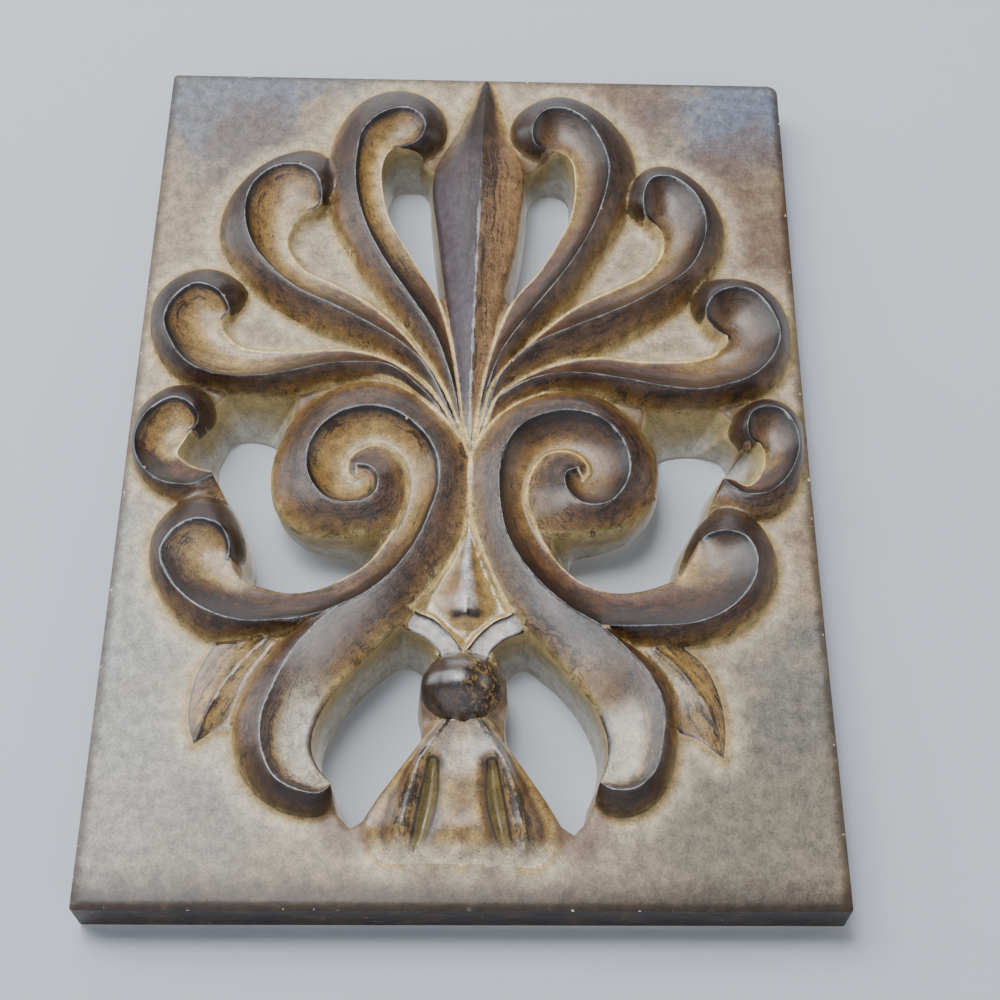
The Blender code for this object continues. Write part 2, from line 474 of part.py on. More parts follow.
def stretch(points, surface):
    """The height of a surface stretched from its low curve to its high curve, and far below ground elsewhere.

    A rounded back rises steeply from the low curve, and a soft one gently. A scooped hollow stays low and curls up
    to the high curve, and is deeper yet from where its bowl begins. Beyond the low curve the surface rolls off to
    the ground.
    """
    low, high = surface["low"], surface["high"]
    loop = np.vstack([low, high[::-1]])
    height = np.full(len(points), -99.0)
    near = ((points > loop[:, :2].min(0) - 1.5) & (points < loop[:, :2].max(0) + 1.5)).all(1)
    if not near.any():
        return height
    points = points[near]
    to_low, low_height, _ = nearest(points, low)
    to_high, high_height, along = nearest(points, high)
    share = to_low / np.maximum(to_low + to_high, 1e-9)
    begin, length = surface.get("scoop", (1e9, 1))
    scoop = ease((along - begin) / length)
    rounded = 0.75 * np.sqrt(1 - (1 - share) ** 2) + 0.25 * share
    rise = ease(share) if surface.get("soft") else rounded + (share**2.2 - rounded) * scoop
    level = low_height + (high_height - low_height) * rise
    begin = surface.get("bowl", 2)
    deep = ease((along / measure(high)[-1] - begin) / BOWL_EASE)
    level -= (surface.get("dip", 0) + BOWL * deep) * 4 * share * (1 - share)
    within = inside(points, loop) | (np.minimum(to_low, to_high) < TOUCH)
    ground = surface.get("ground", 0)
    drop = (np.maximum(to_low - RIM_FLAT, 0) / RIM) ** 2
    beyond = np.where(drop < 1, low_height - np.maximum(low_height - ground, 0) * drop, -99.0)
    if surface.get("rims"):
        drop = (np.maximum(to_high - RIM_FLAT, 0) / RIM) ** 2
        beyond = np.maximum(beyond, np.where(drop < 1, high_height - (high_height - ground) * drop, -99.0))
    height[near] = np.where(within, level, beyond)
    return height


def floors(points):
    """The least height of the carving where its surfaces leave slivers of the slab between them."""
    height = np.zeros(len(points))
    for side in (-1, 1):
        stem = place([(-1.5, 112), (3.5, 106), (2, 80), (9, 65), (13.5, 57.5), (6, 50), (-1.5, 47)], side)
        height[inside(points, stem)] = 1.6
        knot = place([(-1, 40.5), (4.8, 40.5), (6.5, 37), (-1, 36)], side)
        height[inside(points, knot)] = 1.2
    return height


def ball(points):
    off = (points - (BALL["across"], BALL["up"])) / (BALL["half_width"], BALL["half_height"])
    off = (off**2).sum(1)
    return np.where(off < 1, BALL["rim"] + (BALL["top"] - BALL["rim"]) * np.sqrt(np.maximum(1 - off, 0)), -99.0)


def slots(points, curves, height):
    """The two long hollows cut in the tassel."""
    for half in curves:
        far, _, along = nearest(points, half["tassel slot"])
        wide = 0.6 + 1.1 * np.sin(math.pi * np.clip((along + 3) / 24, 0, 1))
        depth = 2.2 * (1 - np.minimum(far / wide, 1) ** 2)
        height = height - np.where(far < wide, depth, 0)
    return height


def relief(points, curves, surfaces):
    """How high the carving stands over the slab at each point."""
    height = floors(points)
    for surface in surfaces:
        height = np.maximum(height, stretch(points, surface))
    return np.maximum(slots(points, curves, height), ball(points))


def rim_of(name, curves, side):
    """The rim of an opening on the face."""
    rim = []
    for piece in RIMS[name]:
        if not isinstance(piece[0], str):
            rim.append(place([piece], side))
            continue
        line = curves[piece[0]][:, :2]
        start, end = (np.hypot(*(line - place([point], side)[0]).T).argmin() for point in piece[1:])
        rim.append(line[start : end + 1] if end >= start else line[end : start + 1][::-1])
    rim = np.vstack(rim)
    dense = []
    for a, b in zip(rim, np.roll(rim, -1, axis=0)):
        count = max(1, round(math.dist(a, b) / SPACING))
        dense += [a + (b - a) * i / count for i in range(count)]
    return np.array(dense)


def closed_line(loop):
    return np.column_stack([np.vstack([loop, loop[:1]]), np.zeros(len(loop) + 1)])


def matched(face, back):
    """The rim on the face, the rim at the back, and pairs of places along them that belong together."""
    line, behind = closed_line(face), closed_line(back)
    total, total_back = measure(line)[-1], measure(behind)[-1]
    stations = np.arange(0, len(behind) - 1, 5)
    along, along_back = nearest(behind[stations, :2], line)[2], measure(behind)[stations]
    first = along[0]
    along = (along - first) % total
    pairs = [(0.0, 0.0)]
    for ahead, ahead_back in zip(along[1:], along_back[1:]):
        step = ahead - pairs[-1][0]
        if 0.5 < step < 0.25 * total and ahead < total - 0.5:
            pairs.append((ahead, ahead_back))
    pairs.append((total, total_back))
    return line, behind, first, total, np.array(pairs)


def drafted(point, openings):
    """Where a wall that starts at this point of a rim meets the back."""
    for line, behind, first, total, pairs in openings:
        far, _, along = nearest(point[None], line)
        if far[0] < 0.1:
            ahead = np.interp((along[0] - first) % total, pairs[:, 0], pairs[:, 1])
            return np.array([np.interp(ahead, measure(behind), behind[:, axis]) for axis in (0, 1)])
    return point


def slab_outline():
    """The outline of the slab, with its corners rounded."""
    loop = []
    for before, corner, after in zip(SLAB[-1:] + SLAB[:-1], SLAB, SLAB[1:] + SLAB[:1]):
        here, radius = np.array(corner[:2]), corner[2]
        way_in, way_out = np.array(before[:2]) - here, np.array(after[:2]) - here
        way_in, way_out = way_in / np.hypot(*way_in), way_out / np.hypot(*way_out)
        for t in np.linspace(0, 1, 5):
            loop.append(here + radius * (way_in * (1 - t) ** 2 + way_out * t**2))
    loop = np.array(loop)
    dense = []
    for a, b in zip(loop, np.roll(loop, -1, axis=0)):
        count = max(1, round(math.dist(a, b) / 2))
        dense += [a + (b - a) * i / count for i in range(count)]
    return np.array(dense)


def grid(edge):
    """Points in even rows over the slab."""
    low, high = edge.min(0), edge.max(0)
    found = []
    for index, y in enumerate(np.arange(low[1] + SPACING, high[1], SPACING * 0.87)):
        for x in np.arange(low[0] + SPACING * (0.5 + 0.5 * (index % 2)), high[0], SPACING):
            found.append((x, y))
    found = np.array(found)
    found = found[inside(found, edge)]
    return found[nearest(found, closed_line(edge))[0] > SPACING * 0.6]


def turn(corners):
    (ax, ay), (bx, by), (cx, cy) = corners
    return (bx - ax) * (cy - ay) - (by - ay) * (cx - ax)


def face_mesh(curves, rims, edge):
    """The carved face in plan: its points, and the triangles between them. Edges follow every curve."""
    found, joins, known = [], [], {}

    def add(line, closed):
        numbers = []
        for x, y in line[:, :2]:
            key = (round(x / 0.03), round(y / 0.03))
            if key not in known:
                known[key] = len(found)
                found.append(Vector((float(x), float(y))))
            numbers.append(known[key])
        ends = numbers[1:] + numbers[:1] if closed else numbers[1:]
        joins.extend((a, b) for a, b in zip(numbers, ends) if a != b)

    add(edge, True)
    for rim in rims:
        add(rim, True)
    for half in curves:
        for name, line in half.items():
            if name != "tassel slot":
                add(line, False)
    tree = KDTree(len(found))
    for index, point in enumerate(found):
        tree.insert((point.x, point.y, 0), index)
    tree.balance()
    for x, y in grid(edge):
        if tree.find((x, y, 0))[2] > SPACING * 0.45:
            found.append(Vector((float(x), float(y))))
    points, _, faces, _, _, _ = delaunay_2d_cdt(found, joins, [], 0, 0.05)
    points = np.array([tuple(point) for point in points])
    faces = np.array([face if turn(points[list(face)]) > 0 else face[::-1] for face in faces])
    middle = points[faces].mean(1)
    keep = inside(middle, edge)
    for rim in rims:
        keep &= ~inside(middle, rim)
    return points, faces[keep]


def loops_of(faces):
    """The rims of the mesh, each as a list of corners in order."""
    sides = {(a, b) for face in faces for a, b in zip(face, (face[1], face[2], face[0]))}
    after = {a: b for a, b in sides if (b, a) not in sides}
    found = []
    while after:
        first, corner = after.popitem()
        loop = [first]
        while corner != first:
            loop.append(corner)
            corner = after.pop(corner)
        found.append(loop)
    return found


def solid():
    """The points and triangles of the whole plaque, in metres."""
    curves, surfaces, rims, openings = [], [], [], []
    for side in (-1, 1):
        half = curves_of(side)
        curves.append(half)
        surfaces += surfaces_of(half, side)
        for name, backs in BACKS.items():
            rims.append(rim_of(name, half, side))
            openings.append(matched(rims[-1], place(smooth(backs[side > 0], closed=True), side)))
    edge = slab_outline()
    flat, faces = face_mesh(curves, rims, edge)
    used = np.unique(faces)
    number = np.full(len(flat), -1)
    number[used] = np.arange(len(used))
    flat, faces = flat[used], number[faces]
    height = relief(flat, curves, surfaces)
    points = [(x, -(BODY + h), y) for (x, y), h in zip(flat, height)]
    triangles = [tuple(face) for face in faces.tolist()]
    back, joins, loops = [], [], []
    for loop in loops_of(faces.tolist()):
        start = len(back)
        back += [drafted(flat[index], openings) for index in loop]
        loops.append(range(start, len(back)))
        for i, corner in enumerate(loop):
            j = (i + 1) % len(loop)
            low, low_next = len(points) + start + i, len(points) + start + j
            triangles.append((corner, low, loop[j]))
            triangles.append((loop[j], low, low_next))
            joins.append((start + i, start + j))
    cover, _, under, origin, _, _ = delaunay_2d_cdt([Vector(map(float, p)) for p in back], joins, [], 0, 0.0)
    cover = np.array([tuple(point) for point in cover])
    number = {old: new for new, olds in enumerate(origin) for old in olds}
    outlines = sorted((cover[[number[i] for i in loop]] for loop in loops), key=lambda line: -np.ptp(line[:, 0]))
    for face in under:
        middle = cover[list(face)].mean(0)[None]
        if not inside(middle, outlines[0])[0] or any(inside(middle, hole)[0] for hole in outlines[1:]):
            continue
        if turn(cover[list(face)]) > 0:
            face = face[::-1]
        triangles.append(tuple(len(points) + origin[i][0] for i in face))
    points += [(x, 0.0, y) for x, y in back]
    points = np.array(points) * MM
    points[:, 2] -= MIDDLE * MM
    return points, triangles


def main():
    for obj in list(bpy.data.objects):
        bpy.data.objects.remove(obj)
    collection = bpy.data.collections.new("wall plaque")
    bpy.context.scene.collection.children.link(collection)
    points, triangles = solid()
    mesh = bpy.data.meshes.new("scroll_plaque")
    mesh.from_pydata(points.tolist(), [], triangles)
    mesh.validate()
    plaque = bpy.data.objects.new("scroll_plaque", mesh)
    collection.objects.link(plaque)
    plaster = bpy.data.materials.new("antiqued plaster")
    plaster.use_nodes = True
    shader = plaster.node_tree.nodes["Principled BSDF"]
    shader.inputs["Base Color"].default_value = (0.42, 0.30, 0.17, 1.0)
    shader.inputs["Roughness"].default_value = 0.45
    mesh.materials.append(plaster)
    lighten = plaque.modifiers.new("lighten", "DECIMATE")
    lighten.ratio = TRIANGLES / len(mesh.polygons)


main()
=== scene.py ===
"""Wall plaque: a palmette over two volutes, cast in plaster, pierced, and stained like old carved wood."""

import math
from types import SimpleNamespace

import bpy
import numpy as np
from mathutils import Matrix, Vector
from mathutils.geometry import delaunay_2d_cdt
from mathutils.kdtree import KDTree


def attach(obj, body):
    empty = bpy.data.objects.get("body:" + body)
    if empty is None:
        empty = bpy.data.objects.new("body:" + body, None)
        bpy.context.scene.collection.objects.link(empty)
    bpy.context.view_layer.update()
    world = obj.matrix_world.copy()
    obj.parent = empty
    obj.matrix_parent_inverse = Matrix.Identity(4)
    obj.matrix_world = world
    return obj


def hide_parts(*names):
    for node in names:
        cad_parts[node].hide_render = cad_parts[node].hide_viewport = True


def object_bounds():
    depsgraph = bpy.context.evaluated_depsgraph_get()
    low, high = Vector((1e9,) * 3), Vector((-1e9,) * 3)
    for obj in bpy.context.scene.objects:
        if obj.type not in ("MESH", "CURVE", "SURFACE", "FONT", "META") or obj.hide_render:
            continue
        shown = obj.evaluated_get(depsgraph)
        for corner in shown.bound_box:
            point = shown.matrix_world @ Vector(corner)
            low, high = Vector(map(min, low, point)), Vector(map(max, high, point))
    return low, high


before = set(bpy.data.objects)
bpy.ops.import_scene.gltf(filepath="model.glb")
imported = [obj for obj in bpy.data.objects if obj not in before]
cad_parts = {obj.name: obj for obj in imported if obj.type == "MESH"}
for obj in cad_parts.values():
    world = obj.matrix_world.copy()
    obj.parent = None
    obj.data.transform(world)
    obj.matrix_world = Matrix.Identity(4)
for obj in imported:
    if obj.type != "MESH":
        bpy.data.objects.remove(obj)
cad_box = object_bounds()
# Smoothing works on whatever is selected, so the model is let go of first.
for obj in bpy.context.selected_objects:
    obj.select_set(False)

# ------------------------------------------------------------------------------------------------------------
# The camera. It looks at the plaque from in front and from below its bottom edge, a hand's reach away, with a
# slight roll.

AIM = Vector((0.0071, -0.0120, -0.0168))
DISTANCE = 0.3771
ELEVATION = -29.76
AZIMUTH = 0.207
ROLL = 0.34
LENS = 63.03
NEAREST_SEEN = 0.01

camera = bpy.data.objects.new("camera", bpy.data.cameras.new("camera"))
bpy.context.collection.objects.link(camera)
camera.data.lens = LENS
camera.data.clip_start = NEAREST_SEEN
azimuth, elevation, roll = map(math.radians, (AZIMUTH, ELEVATION, ROLL))
toward = Vector((
    math.sin(azimuth) * math.cos(elevation), -math.cos(azimuth) * math.cos(elevation), math.sin(elevation)
))
upright = toward.to_track_quat("Z", "Y").to_matrix().to_4x4()
camera.matrix_world = Matrix.Translation(AIM + DISTANCE * toward) @ upright @ Matrix.Rotation(roll, 4, "Z")
bpy.context.scene.camera = camera

# ------------------------------------------------------------------------------------------------------------
# The slab is the flat ground of the plaque, cast in one with everything on it. Its edges were trued by hand,
# so no two of its corners are alike. Its face was stained tan, then wiped pale round the ornament, and it is
# cloudy grey and brown further out. Sizes are in millimetres, measured from the middle of its bottom edge.

MM = 0.001
WIDTH = 150.0
LEFT_HEIGHT = 213.5
RIGHT_HEIGHT = 210.3
MIDDLE = (LEFT_HEIGHT + RIGHT_HEIGHT) / 4
BODY = 10.0
FINE = 0.55
COARSE = 2 * FINE
CORNER_STEPS = 9
# Each corner: across, up, and how far from it the rounding starts.
SLAB = [
    (-WIDTH / 2, -0.3, 0.6),
    (WIDTH / 2 + 0.2, 0.1, 0.6),
    (WIDTH / 2 - 0.4, 100.0, 60.0),
    (WIDTH / 2 + 0.8, RIGHT_HEIGHT, 3.0),
    (-WIDTH / 2 - 0.6, LEFT_HEIGHT, 1.2),
]


def measure(line):
    """How far along the line each of its points is."""
    return np.concatenate([[0], np.cumsum(np.hypot(*np.diff(line[:, :2], axis=0).T))])


def closed_line(loop):
    """A closed loop as a line that ends where it starts, with no height."""
    return np.column_stack([np.vstack([loop, loop[:1]]), np.zeros(len(loop) + 1)])


def divided(loop, spacing):
    """The closed loop again, with points no further apart than the spacing."""
    dense = []
    for a, b in zip(loop, np.roll(loop, -1, axis=0)):
        count = max(1, round(math.dist(a, b) / spacing))
        dense += [a + (b - a) * i / count for i in range(count)]
    return np.array(dense)


def slab_outline():
    """The outline of the slab, with its corners rounded."""
    loop = []
    for before, corner, after in zip(SLAB[-1:] + SLAB[:-1], SLAB, SLAB[1:] + SLAB[:1]):
        here, radius = np.array(corner[:2]), corner[2]
        way_in, way_out = np.array(before[:2]) - here, np.array(after[:2]) - here
        way_in, way_out = way_in / np.hypot(*way_in), way_out / np.hypot(*way_out)
        for t in np.linspace(0, 1, CORNER_STEPS):
            loop.append(here + radius * (way_in * (1 - t) ** 2 + way_out * t**2))
    return divided(np.array(loop), COARSE)


edge = slab_outline()


def colour(red, green, blue):
    """A colour as a painter names it, from 0 to 255, made linear."""
    shares = [part / 255 for part in (red, green, blue)]
    return *(c / 12.92 if c <= 0.04045 else ((c + 0.055) / 1.055) ** 2.4 for c in shares), 1.0


class Field:
    """What an output of a node gives over a surface. Fields are reckoned with and compared like numbers."""

    def __init__(self, socket):
        self.socket = socket
        self.tree = socket.id_data

    def __add__(self, other):
        return reckon("ADD", self, other)

    def __sub__(self, other):
        return reckon("SUBTRACT", self, other)

    def __rsub__(self, other):
        return reckon("SUBTRACT", other, self)

    def __mul__(self, other):
        return reckon("MULTIPLY", self, other)

    def __truediv__(self, other):
        return reckon("DIVIDE", self, other)

    def __lt__(self, other):
        return reckon("LESS_THAN", self, other)

    def __gt__(self, other):
        return reckon("GREATER_THAN", self, other)

    def __abs__(self):
        return reckon("ABSOLUTE", self)


class Outputs:
    """The outputs of a node as fields, by name or by number."""

    def __init__(self, node):
        self.node = node

    def __getitem__(self, key):
        return Field(self.node.outputs[key])


def put(kind, values=(), tree=None, **settings):
    """A new node, in the tree of the fields that feed it. Other values are set on its inputs."""
    values = dict(values)
    tree = tree or next(value.tree for value in values.values() if isinstance(value, Field))
    made = tree.nodes.new(kind)
    for key, value in settings.items():
        setattr(made, key, value)
    for key, value in values.items():
        if isinstance(value, Field):
            tree.links.new(value.socket, made.inputs[key])
        else:
            made.inputs[key].default_value = value
    return Outputs(made)


def reckon(operation, *values):
    """The result of a Math node."""
    return put("ShaderNodeMath", enumerate(values), operation=operation)[0]


def swing(share, size):
    """A share from 0 to 1, made to swing this far about nought."""
    return (share - 0.5) * size


def between(value, low, high, to_low=0.0, to_high=1.0):
    """A value eased from one range to another, and held beyond its ends."""
    ends = {"Value": value, "From Min": low, "From Max": high, "To Min": to_low, "To Max": to_high}
    return put("ShaderNodeMapRange", ends, interpolation_type="SMOOTHSTEP")[0]


def blend(share, under, over, how="MIX"):
    """Two colours mixed."""
    return put("ShaderNodeMix", {0: share, 6: under, 7: over}, data_type="RGBA", blend_type=how)[2]


def noise(where, size, detail=4.0, roughness=0.55):
    """Noise whose lumps are about this size, in the units of the vector."""
    values = {"Vector": where, "Scale": 1 / size, "Detail": detail, "Roughness": roughness}
    return put("ShaderNodeTexNoise", values)["Fac"]


def split(vector):
    return put("ShaderNodeSeparateXYZ", {0: vector})


def held(tree, name):
    """A number that the mesh holds under this name."""
    return put("ShaderNodeAttribute", tree=tree, attribute_name=name)["Fac"]


def in_millimetres(tree):
    """Where a point is on the plaque, in millimetres."""
    place_of = put("ShaderNodeTexCoord", tree=tree)["Object"]
    return put("ShaderNodeVectorMath", {0: place_of, 3: 1 / MM}, operation="SCALE")[0]


def new_group(name, inputs, outputs):
    """An empty node group, what it is given, and its output node. An input has a number or a kind."""
    tree = bpy.data.node_groups.new(name, "ShaderNodeTree")
    for socket, value in inputs.items():
        kind = value if isinstance(value, str) else "Float"
        made = tree.interface.new_socket(name=socket, in_out="INPUT", socket_type="NodeSocket" + kind)
        if kind == "Float":
            made.default_value = value
    for socket, kind in outputs.items():
        tree.interface.new_socket(name=socket, in_out="OUTPUT", socket_type="NodeSocket" + kind)
    return tree, Outputs(tree.nodes.new("NodeGroupInput")), tree.nodes.new("NodeGroupOutput")


def give(taker, **fields):
    """Links fields to the inputs of a node."""
    for key, field in fields.items():
        field.tree.links.new(field.socket, taker.inputs[key])


def use(group, **values):
    """What a node group makes of these values."""
    return put("ShaderNodeGroup", values, node_tree=group)


# The mottle of stained plaster: fine grain, soft lumps left by the modelling tool, and tiny dark pores.
PORE_BROWN = colour(58, 42, 34)
PORE_SPACING = 2.2

mottle, given, gives = new_group(
    "plaster mottle", {"Tone": "Color", "Contrast": 1.0, "Pores": 0.3}, {"Tone": "Color", "Height": "Float"}
)
where = in_millimetres(mottle)
grain = noise(where, 0.35, 2.0, 0.6)
lumps = noise(where, 2.4, 4.0, 0.6)
light = swing(grain * 0.5 + lumps * 0.5, 2.4) * given["Contrast"] + 1.0
light = put("ShaderNodeCombineXYZ", dict.fromkeys(range(3), light))[0]
tone = blend(1.0, given["Tone"], light, "MULTIPLY")
cells = put("ShaderNodeTexVoronoi", {"Vector": where, "Scale": 1 / PORE_SPACING}, feature="F1")
chance = put("ShaderNodeSeparateColor", {0: cells["Color"]})
wide = between(chance[1], 0.0, 1.0, 0.025, 0.09)
pores = (1.0 - between(cells["Distance"], wide * 0.5, wide)) * (chance[0] < given["Pores"])
give(gives, Tone=blend(pores * 0.85, tone, PORE_BROWN), Height=lumps * 0.16 - pores * 0.1 + grain * 0.02)

# The stains are named as they look in full light; under the wax they are deeper and richer.
STAIN = 0.8
DEPTH = 1.4
WAX = 0.35
WAX_SOFTNESS = 0.26
BEAD_TAN = colour(232, 208, 160)
CHIPPED = colour(222, 216, 204)
stains = {}


def new_stain(finish, name, roughness, coat):
    """A new material for a finish, and the fields that it is painted by: where a point is, its stroke, how
    far along and across the stroke it lies, its share of the way across, and its share of the way along.
    """
    stains[finish] = material = bpy.data.materials.new(name)
    material.use_nodes = True
    tree = material.node_tree
    shader = tree.nodes["Principled BSDF"]
    shader.inputs["Roughness"].default_value = roughness
    shader.inputs["Specular IOR Level"].default_value = WAX
    shader.inputs["Coat Weight"].default_value = coat
    shader.inputs["Coat Roughness"].default_value = WAX_SOFTNESS
    stroke = put("ShaderNodeAttribute", tree=tree, attribute_name="stroke")["Vector"]
    along, across, share = split(stroke)
    return SimpleNamespace(tree=tree, shader=shader, where=in_millimetres(tree), stroke=stroke,
                           along=along, across=across, share=share, reach=held(tree, "reach"))


def beaded(on, tone):
    """The tone rubbed pale along the beads."""
    uneven = held(on.tree, "beading") + swing(noise(on.where, 2.5, 4.0, 0.65), 0.35)
    return blend(between(uneven, 0.3, 0.75, 0.0, 0.85), tone, BEAD_TAN)


def finish_with(on, tone, contrast, pores, lumps, *heights, chips=None):
    """Mottles the tone, gives it to the shader, and shades it by a sum of heights in millimetres."""
    mottled = use(mottle, Tone=tone, Contrast=contrast, Pores=pores)
    tone = blend(chips, mottled["Tone"], CHIPPED) if chips else mottled["Tone"]
    deep = put("ShaderNodeGamma", {0: tone, 1: DEPTH})[0]
    total = mottled["Height"] * lumps
    for height_of, size in heights:
        total = height_of * size + total
    bump = put("ShaderNodeBump", {"Height": total, "Distance": MM, "Strength": 1.0})[0]
    stained = blend(1.0, deep, (STAIN, STAIN, STAIN, 1.0), "MULTIPLY")
    give(on.shader, **{"Base Color": stained, "Normal": bump})


GROUND_TAN = colour(176, 160, 136)
WIPED_PALE = colour(216, 204, 180)
EDGE_BROWN_AND_SHADOW = colour(72, 56, 44)
BLUE_GREY = colour(130, 137, 152)
PALE_GREY = colour(176, 176, 172)
UMBER = colour(134, 108, 90)
DUN = colour(138, 130, 116)
GOLD_DUST = colour(190, 166, 116)

# Clouds on the ground: across and up from the middle, how far each spreads, its tint and its depth.
CLOUDS = [
    (-60, 98, 26, BLUE_GREY, 0.75), (-30, 100, 14, BLUE_GREY, 0.5), (-50, 78, 15, UMBER, 0.5),
    (66, 98, 24, BLUE_GREY, 0.9), (66, 60, 26, UMBER, 0.75), (38, 98, 16, UMBER, 0.6),
    (-68, -40, 36, PALE_GREY, 0.8), (-66, -84, 34, PALE_GREY, 0.6), (-50, -100, 20, UMBER, 0.3),
    (70, -10, 22, UMBER, 0.6), (66, -62, 18, BLUE_GREY, 0.55), (60, -80, 36, DUN, 0.75),
    (0, -100, 30, UMBER, 0.3),
]

# On plain ground the stroke holds how far the ornament, the edge of the slab and the next opening are.
on = new_stain("ground", "clouded ground", 0.5, 0.1)
to_shape_of, to_edge_of, to_rim_of = on.along, on.across, on.share
x, _, z = split(on.where)
level = put("ShaderNodeCombineXYZ", {0: x, 2: z})[0]
ragged = noise(on.where, 18.0, 6.0, 0.62)
fray = noise(on.where, 5.0, 5.0, 0.65)
tone = GROUND_TAN
for *spot, radius, tint, depth in CLOUDS:
    far = put("ShaderNodeVectorMath", {0: level, 1: (spot[0], 0, spot[1])}, operation="DISTANCE")["Value"]
    far = far + swing(ragged, 70.0) + swing(fray, 14.0)
    tone = blend(between(far, radius * 0.35, radius * 1.25, depth, 0.0), tone, tint)
# Bands that fade away from something: how much each frays, from where to where it fades, its depth and tint.
for far, frays, begin, end, depth, tint in (
    (to_shape_of, 6.0, 1.0, 7.0, 0.75, WIPED_PALE), (to_shape_of, 2.0, 0.5, 2.6, 0.7, GOLD_DUST),
    (to_rim_of, 4.0, 2.0, 8.0, 0.7, UMBER), (to_edge_of, 3.0, 0.0, 2.6, 0.65, EDGE_BROWN_AND_SHADOW),
    # The band along the bottom edge is partly worn stain and partly a painted shadow.
    (z, 8.0, -106.0, -97.0, 0.8, EDGE_BROWN_AND_SHADOW),
):
    tone = blend(between(far + swing(fray, frays), begin, end, depth, 0.0), tone, tint)
chips = between(noise(on.where, 1.6, 3.0, 0.6), 0.66, 0.69) * between(to_edge_of, 0.9, 0.5)
finish_with(on, beaded(on, tone), 1.0, 0.22, 0.6, (ragged, 0.6), chips=chips)

# ------------------------------------------------------------------------------------------------------------
# The leaves of the palmette, four on each side. Each was modelled by hand as a rounded back that rises from
# the ground to a sharp crest, with a hollow behind the crest that ends in a curled bowl.

CREST = 6.5
CURL = 4.0
ROOT = 3.3
PANEL_LIP = 2.5
OPENING_LIP = 3.5
BOWL = 0.9
BOWL_EASE = 0.2
# The bowl of the fifth leaf is where the volute's hollow starts, so it counts as this far along.
OPEN_REACH = 0.7

# The pattern was laid on the slab by eye: it leans to the right higher up, and its right half sits lower.
LEAN_FROM = 100.0
LEAN = 0.028
TILT = 0.025

# A raised edge stays level, then rolls off to the ground. Points this close to a curve are on it.
RIM_FLAT = 0.25
RIM = 0.9
TOUCH = 0.02
SHORTEST = 0.01

# A leaf has a crest from its root out and round its curl, a foot where its rounded back meets the ground, and
# a lip, the inner edge of its hollow. A height profile runs from the start of the curve (0) to its end (1).
FIRST_LEAF = {
    "crest": (
        [(0.3, 102.5), (2, 107.5), (3.5, 115.5), (8.5, 129.5), (14.5, 139.5), (21.5, 150.5), (26.5, 161),
         (29.5, 172), (30, 181), (29, 189), (25, 194.5), (19.5, 196.5), (15.5, 194.5), (14, 190.5),
         (15.5, 187), (21, 186)],
        [(1.2, 102.5), (2, 107.5), (3.5, 116), (6.5, 125.5), (13, 136.5), (21.5, 150), (27, 162),
         (30, 173.5), (30.3, 181), (27.5, 189.5), (24, 194.7), (19, 197.5), (14.5, 196.3), (12, 191),
         (12.7, 187.3), (16, 186.2)],
        [(0, 3.6), (0.04, 4), (0.25, CREST), (0.93, CREST), (1, CURL)],
    ),
    "foot": (
        [(0.4, 102.6), (2.5, 108), (5.5, 116.5), (10.5, 126), (16, 134.5), (23, 143.5), (30, 154.5),
         (35, 165), (37, 176.5), (37, 187.5), (34.5, 197), (29.5, 203.5), (22.5, 206.5), (15.5, 205),
         (10.5, 200), (9, 194.5), (10, 188.5), (14, 185), (19, 185)],
        [(1.3, 102.6), (2.5, 108), (5, 117), (10.5, 127), (17, 136.5), (23, 143.5), (28.5, 155), (34, 166),
         (37, 179), (36.5, 188), (33, 195.5), (26, 202.7), (18.5, 205.5), (11, 202.5), (7, 197.5),
         (6.7, 191.5), (9.5, 187), (14, 185.2)],
        [(0, 3), (0.04, ROOT), (0.35, 0), (1, 0)],
    ),
    "lip": (
        [(0.2, 102.6), (1.5, 108), (3, 118), (5, 129), (8.5, 141), (13, 149), (17.5, 157), (21.5, 165),
         (23.5, 173.5), (24, 179.5), (23, 184), (21, 186)],
        [(1.1, 102.6), (1.5, 108), (2.6, 118), (4.8, 129.5), (9.5, 142.5), (14, 149), (18.5, 158),
         (21.5, 166), (22.5, 176), (21.5, 183), (19.5, 185.3), (16, 186.2)],
        [(0, 3), (0.06, ROOT), (0.2, OPENING_LIP), (0.94, OPENING_LIP), (1, CURL)],
    ),
}
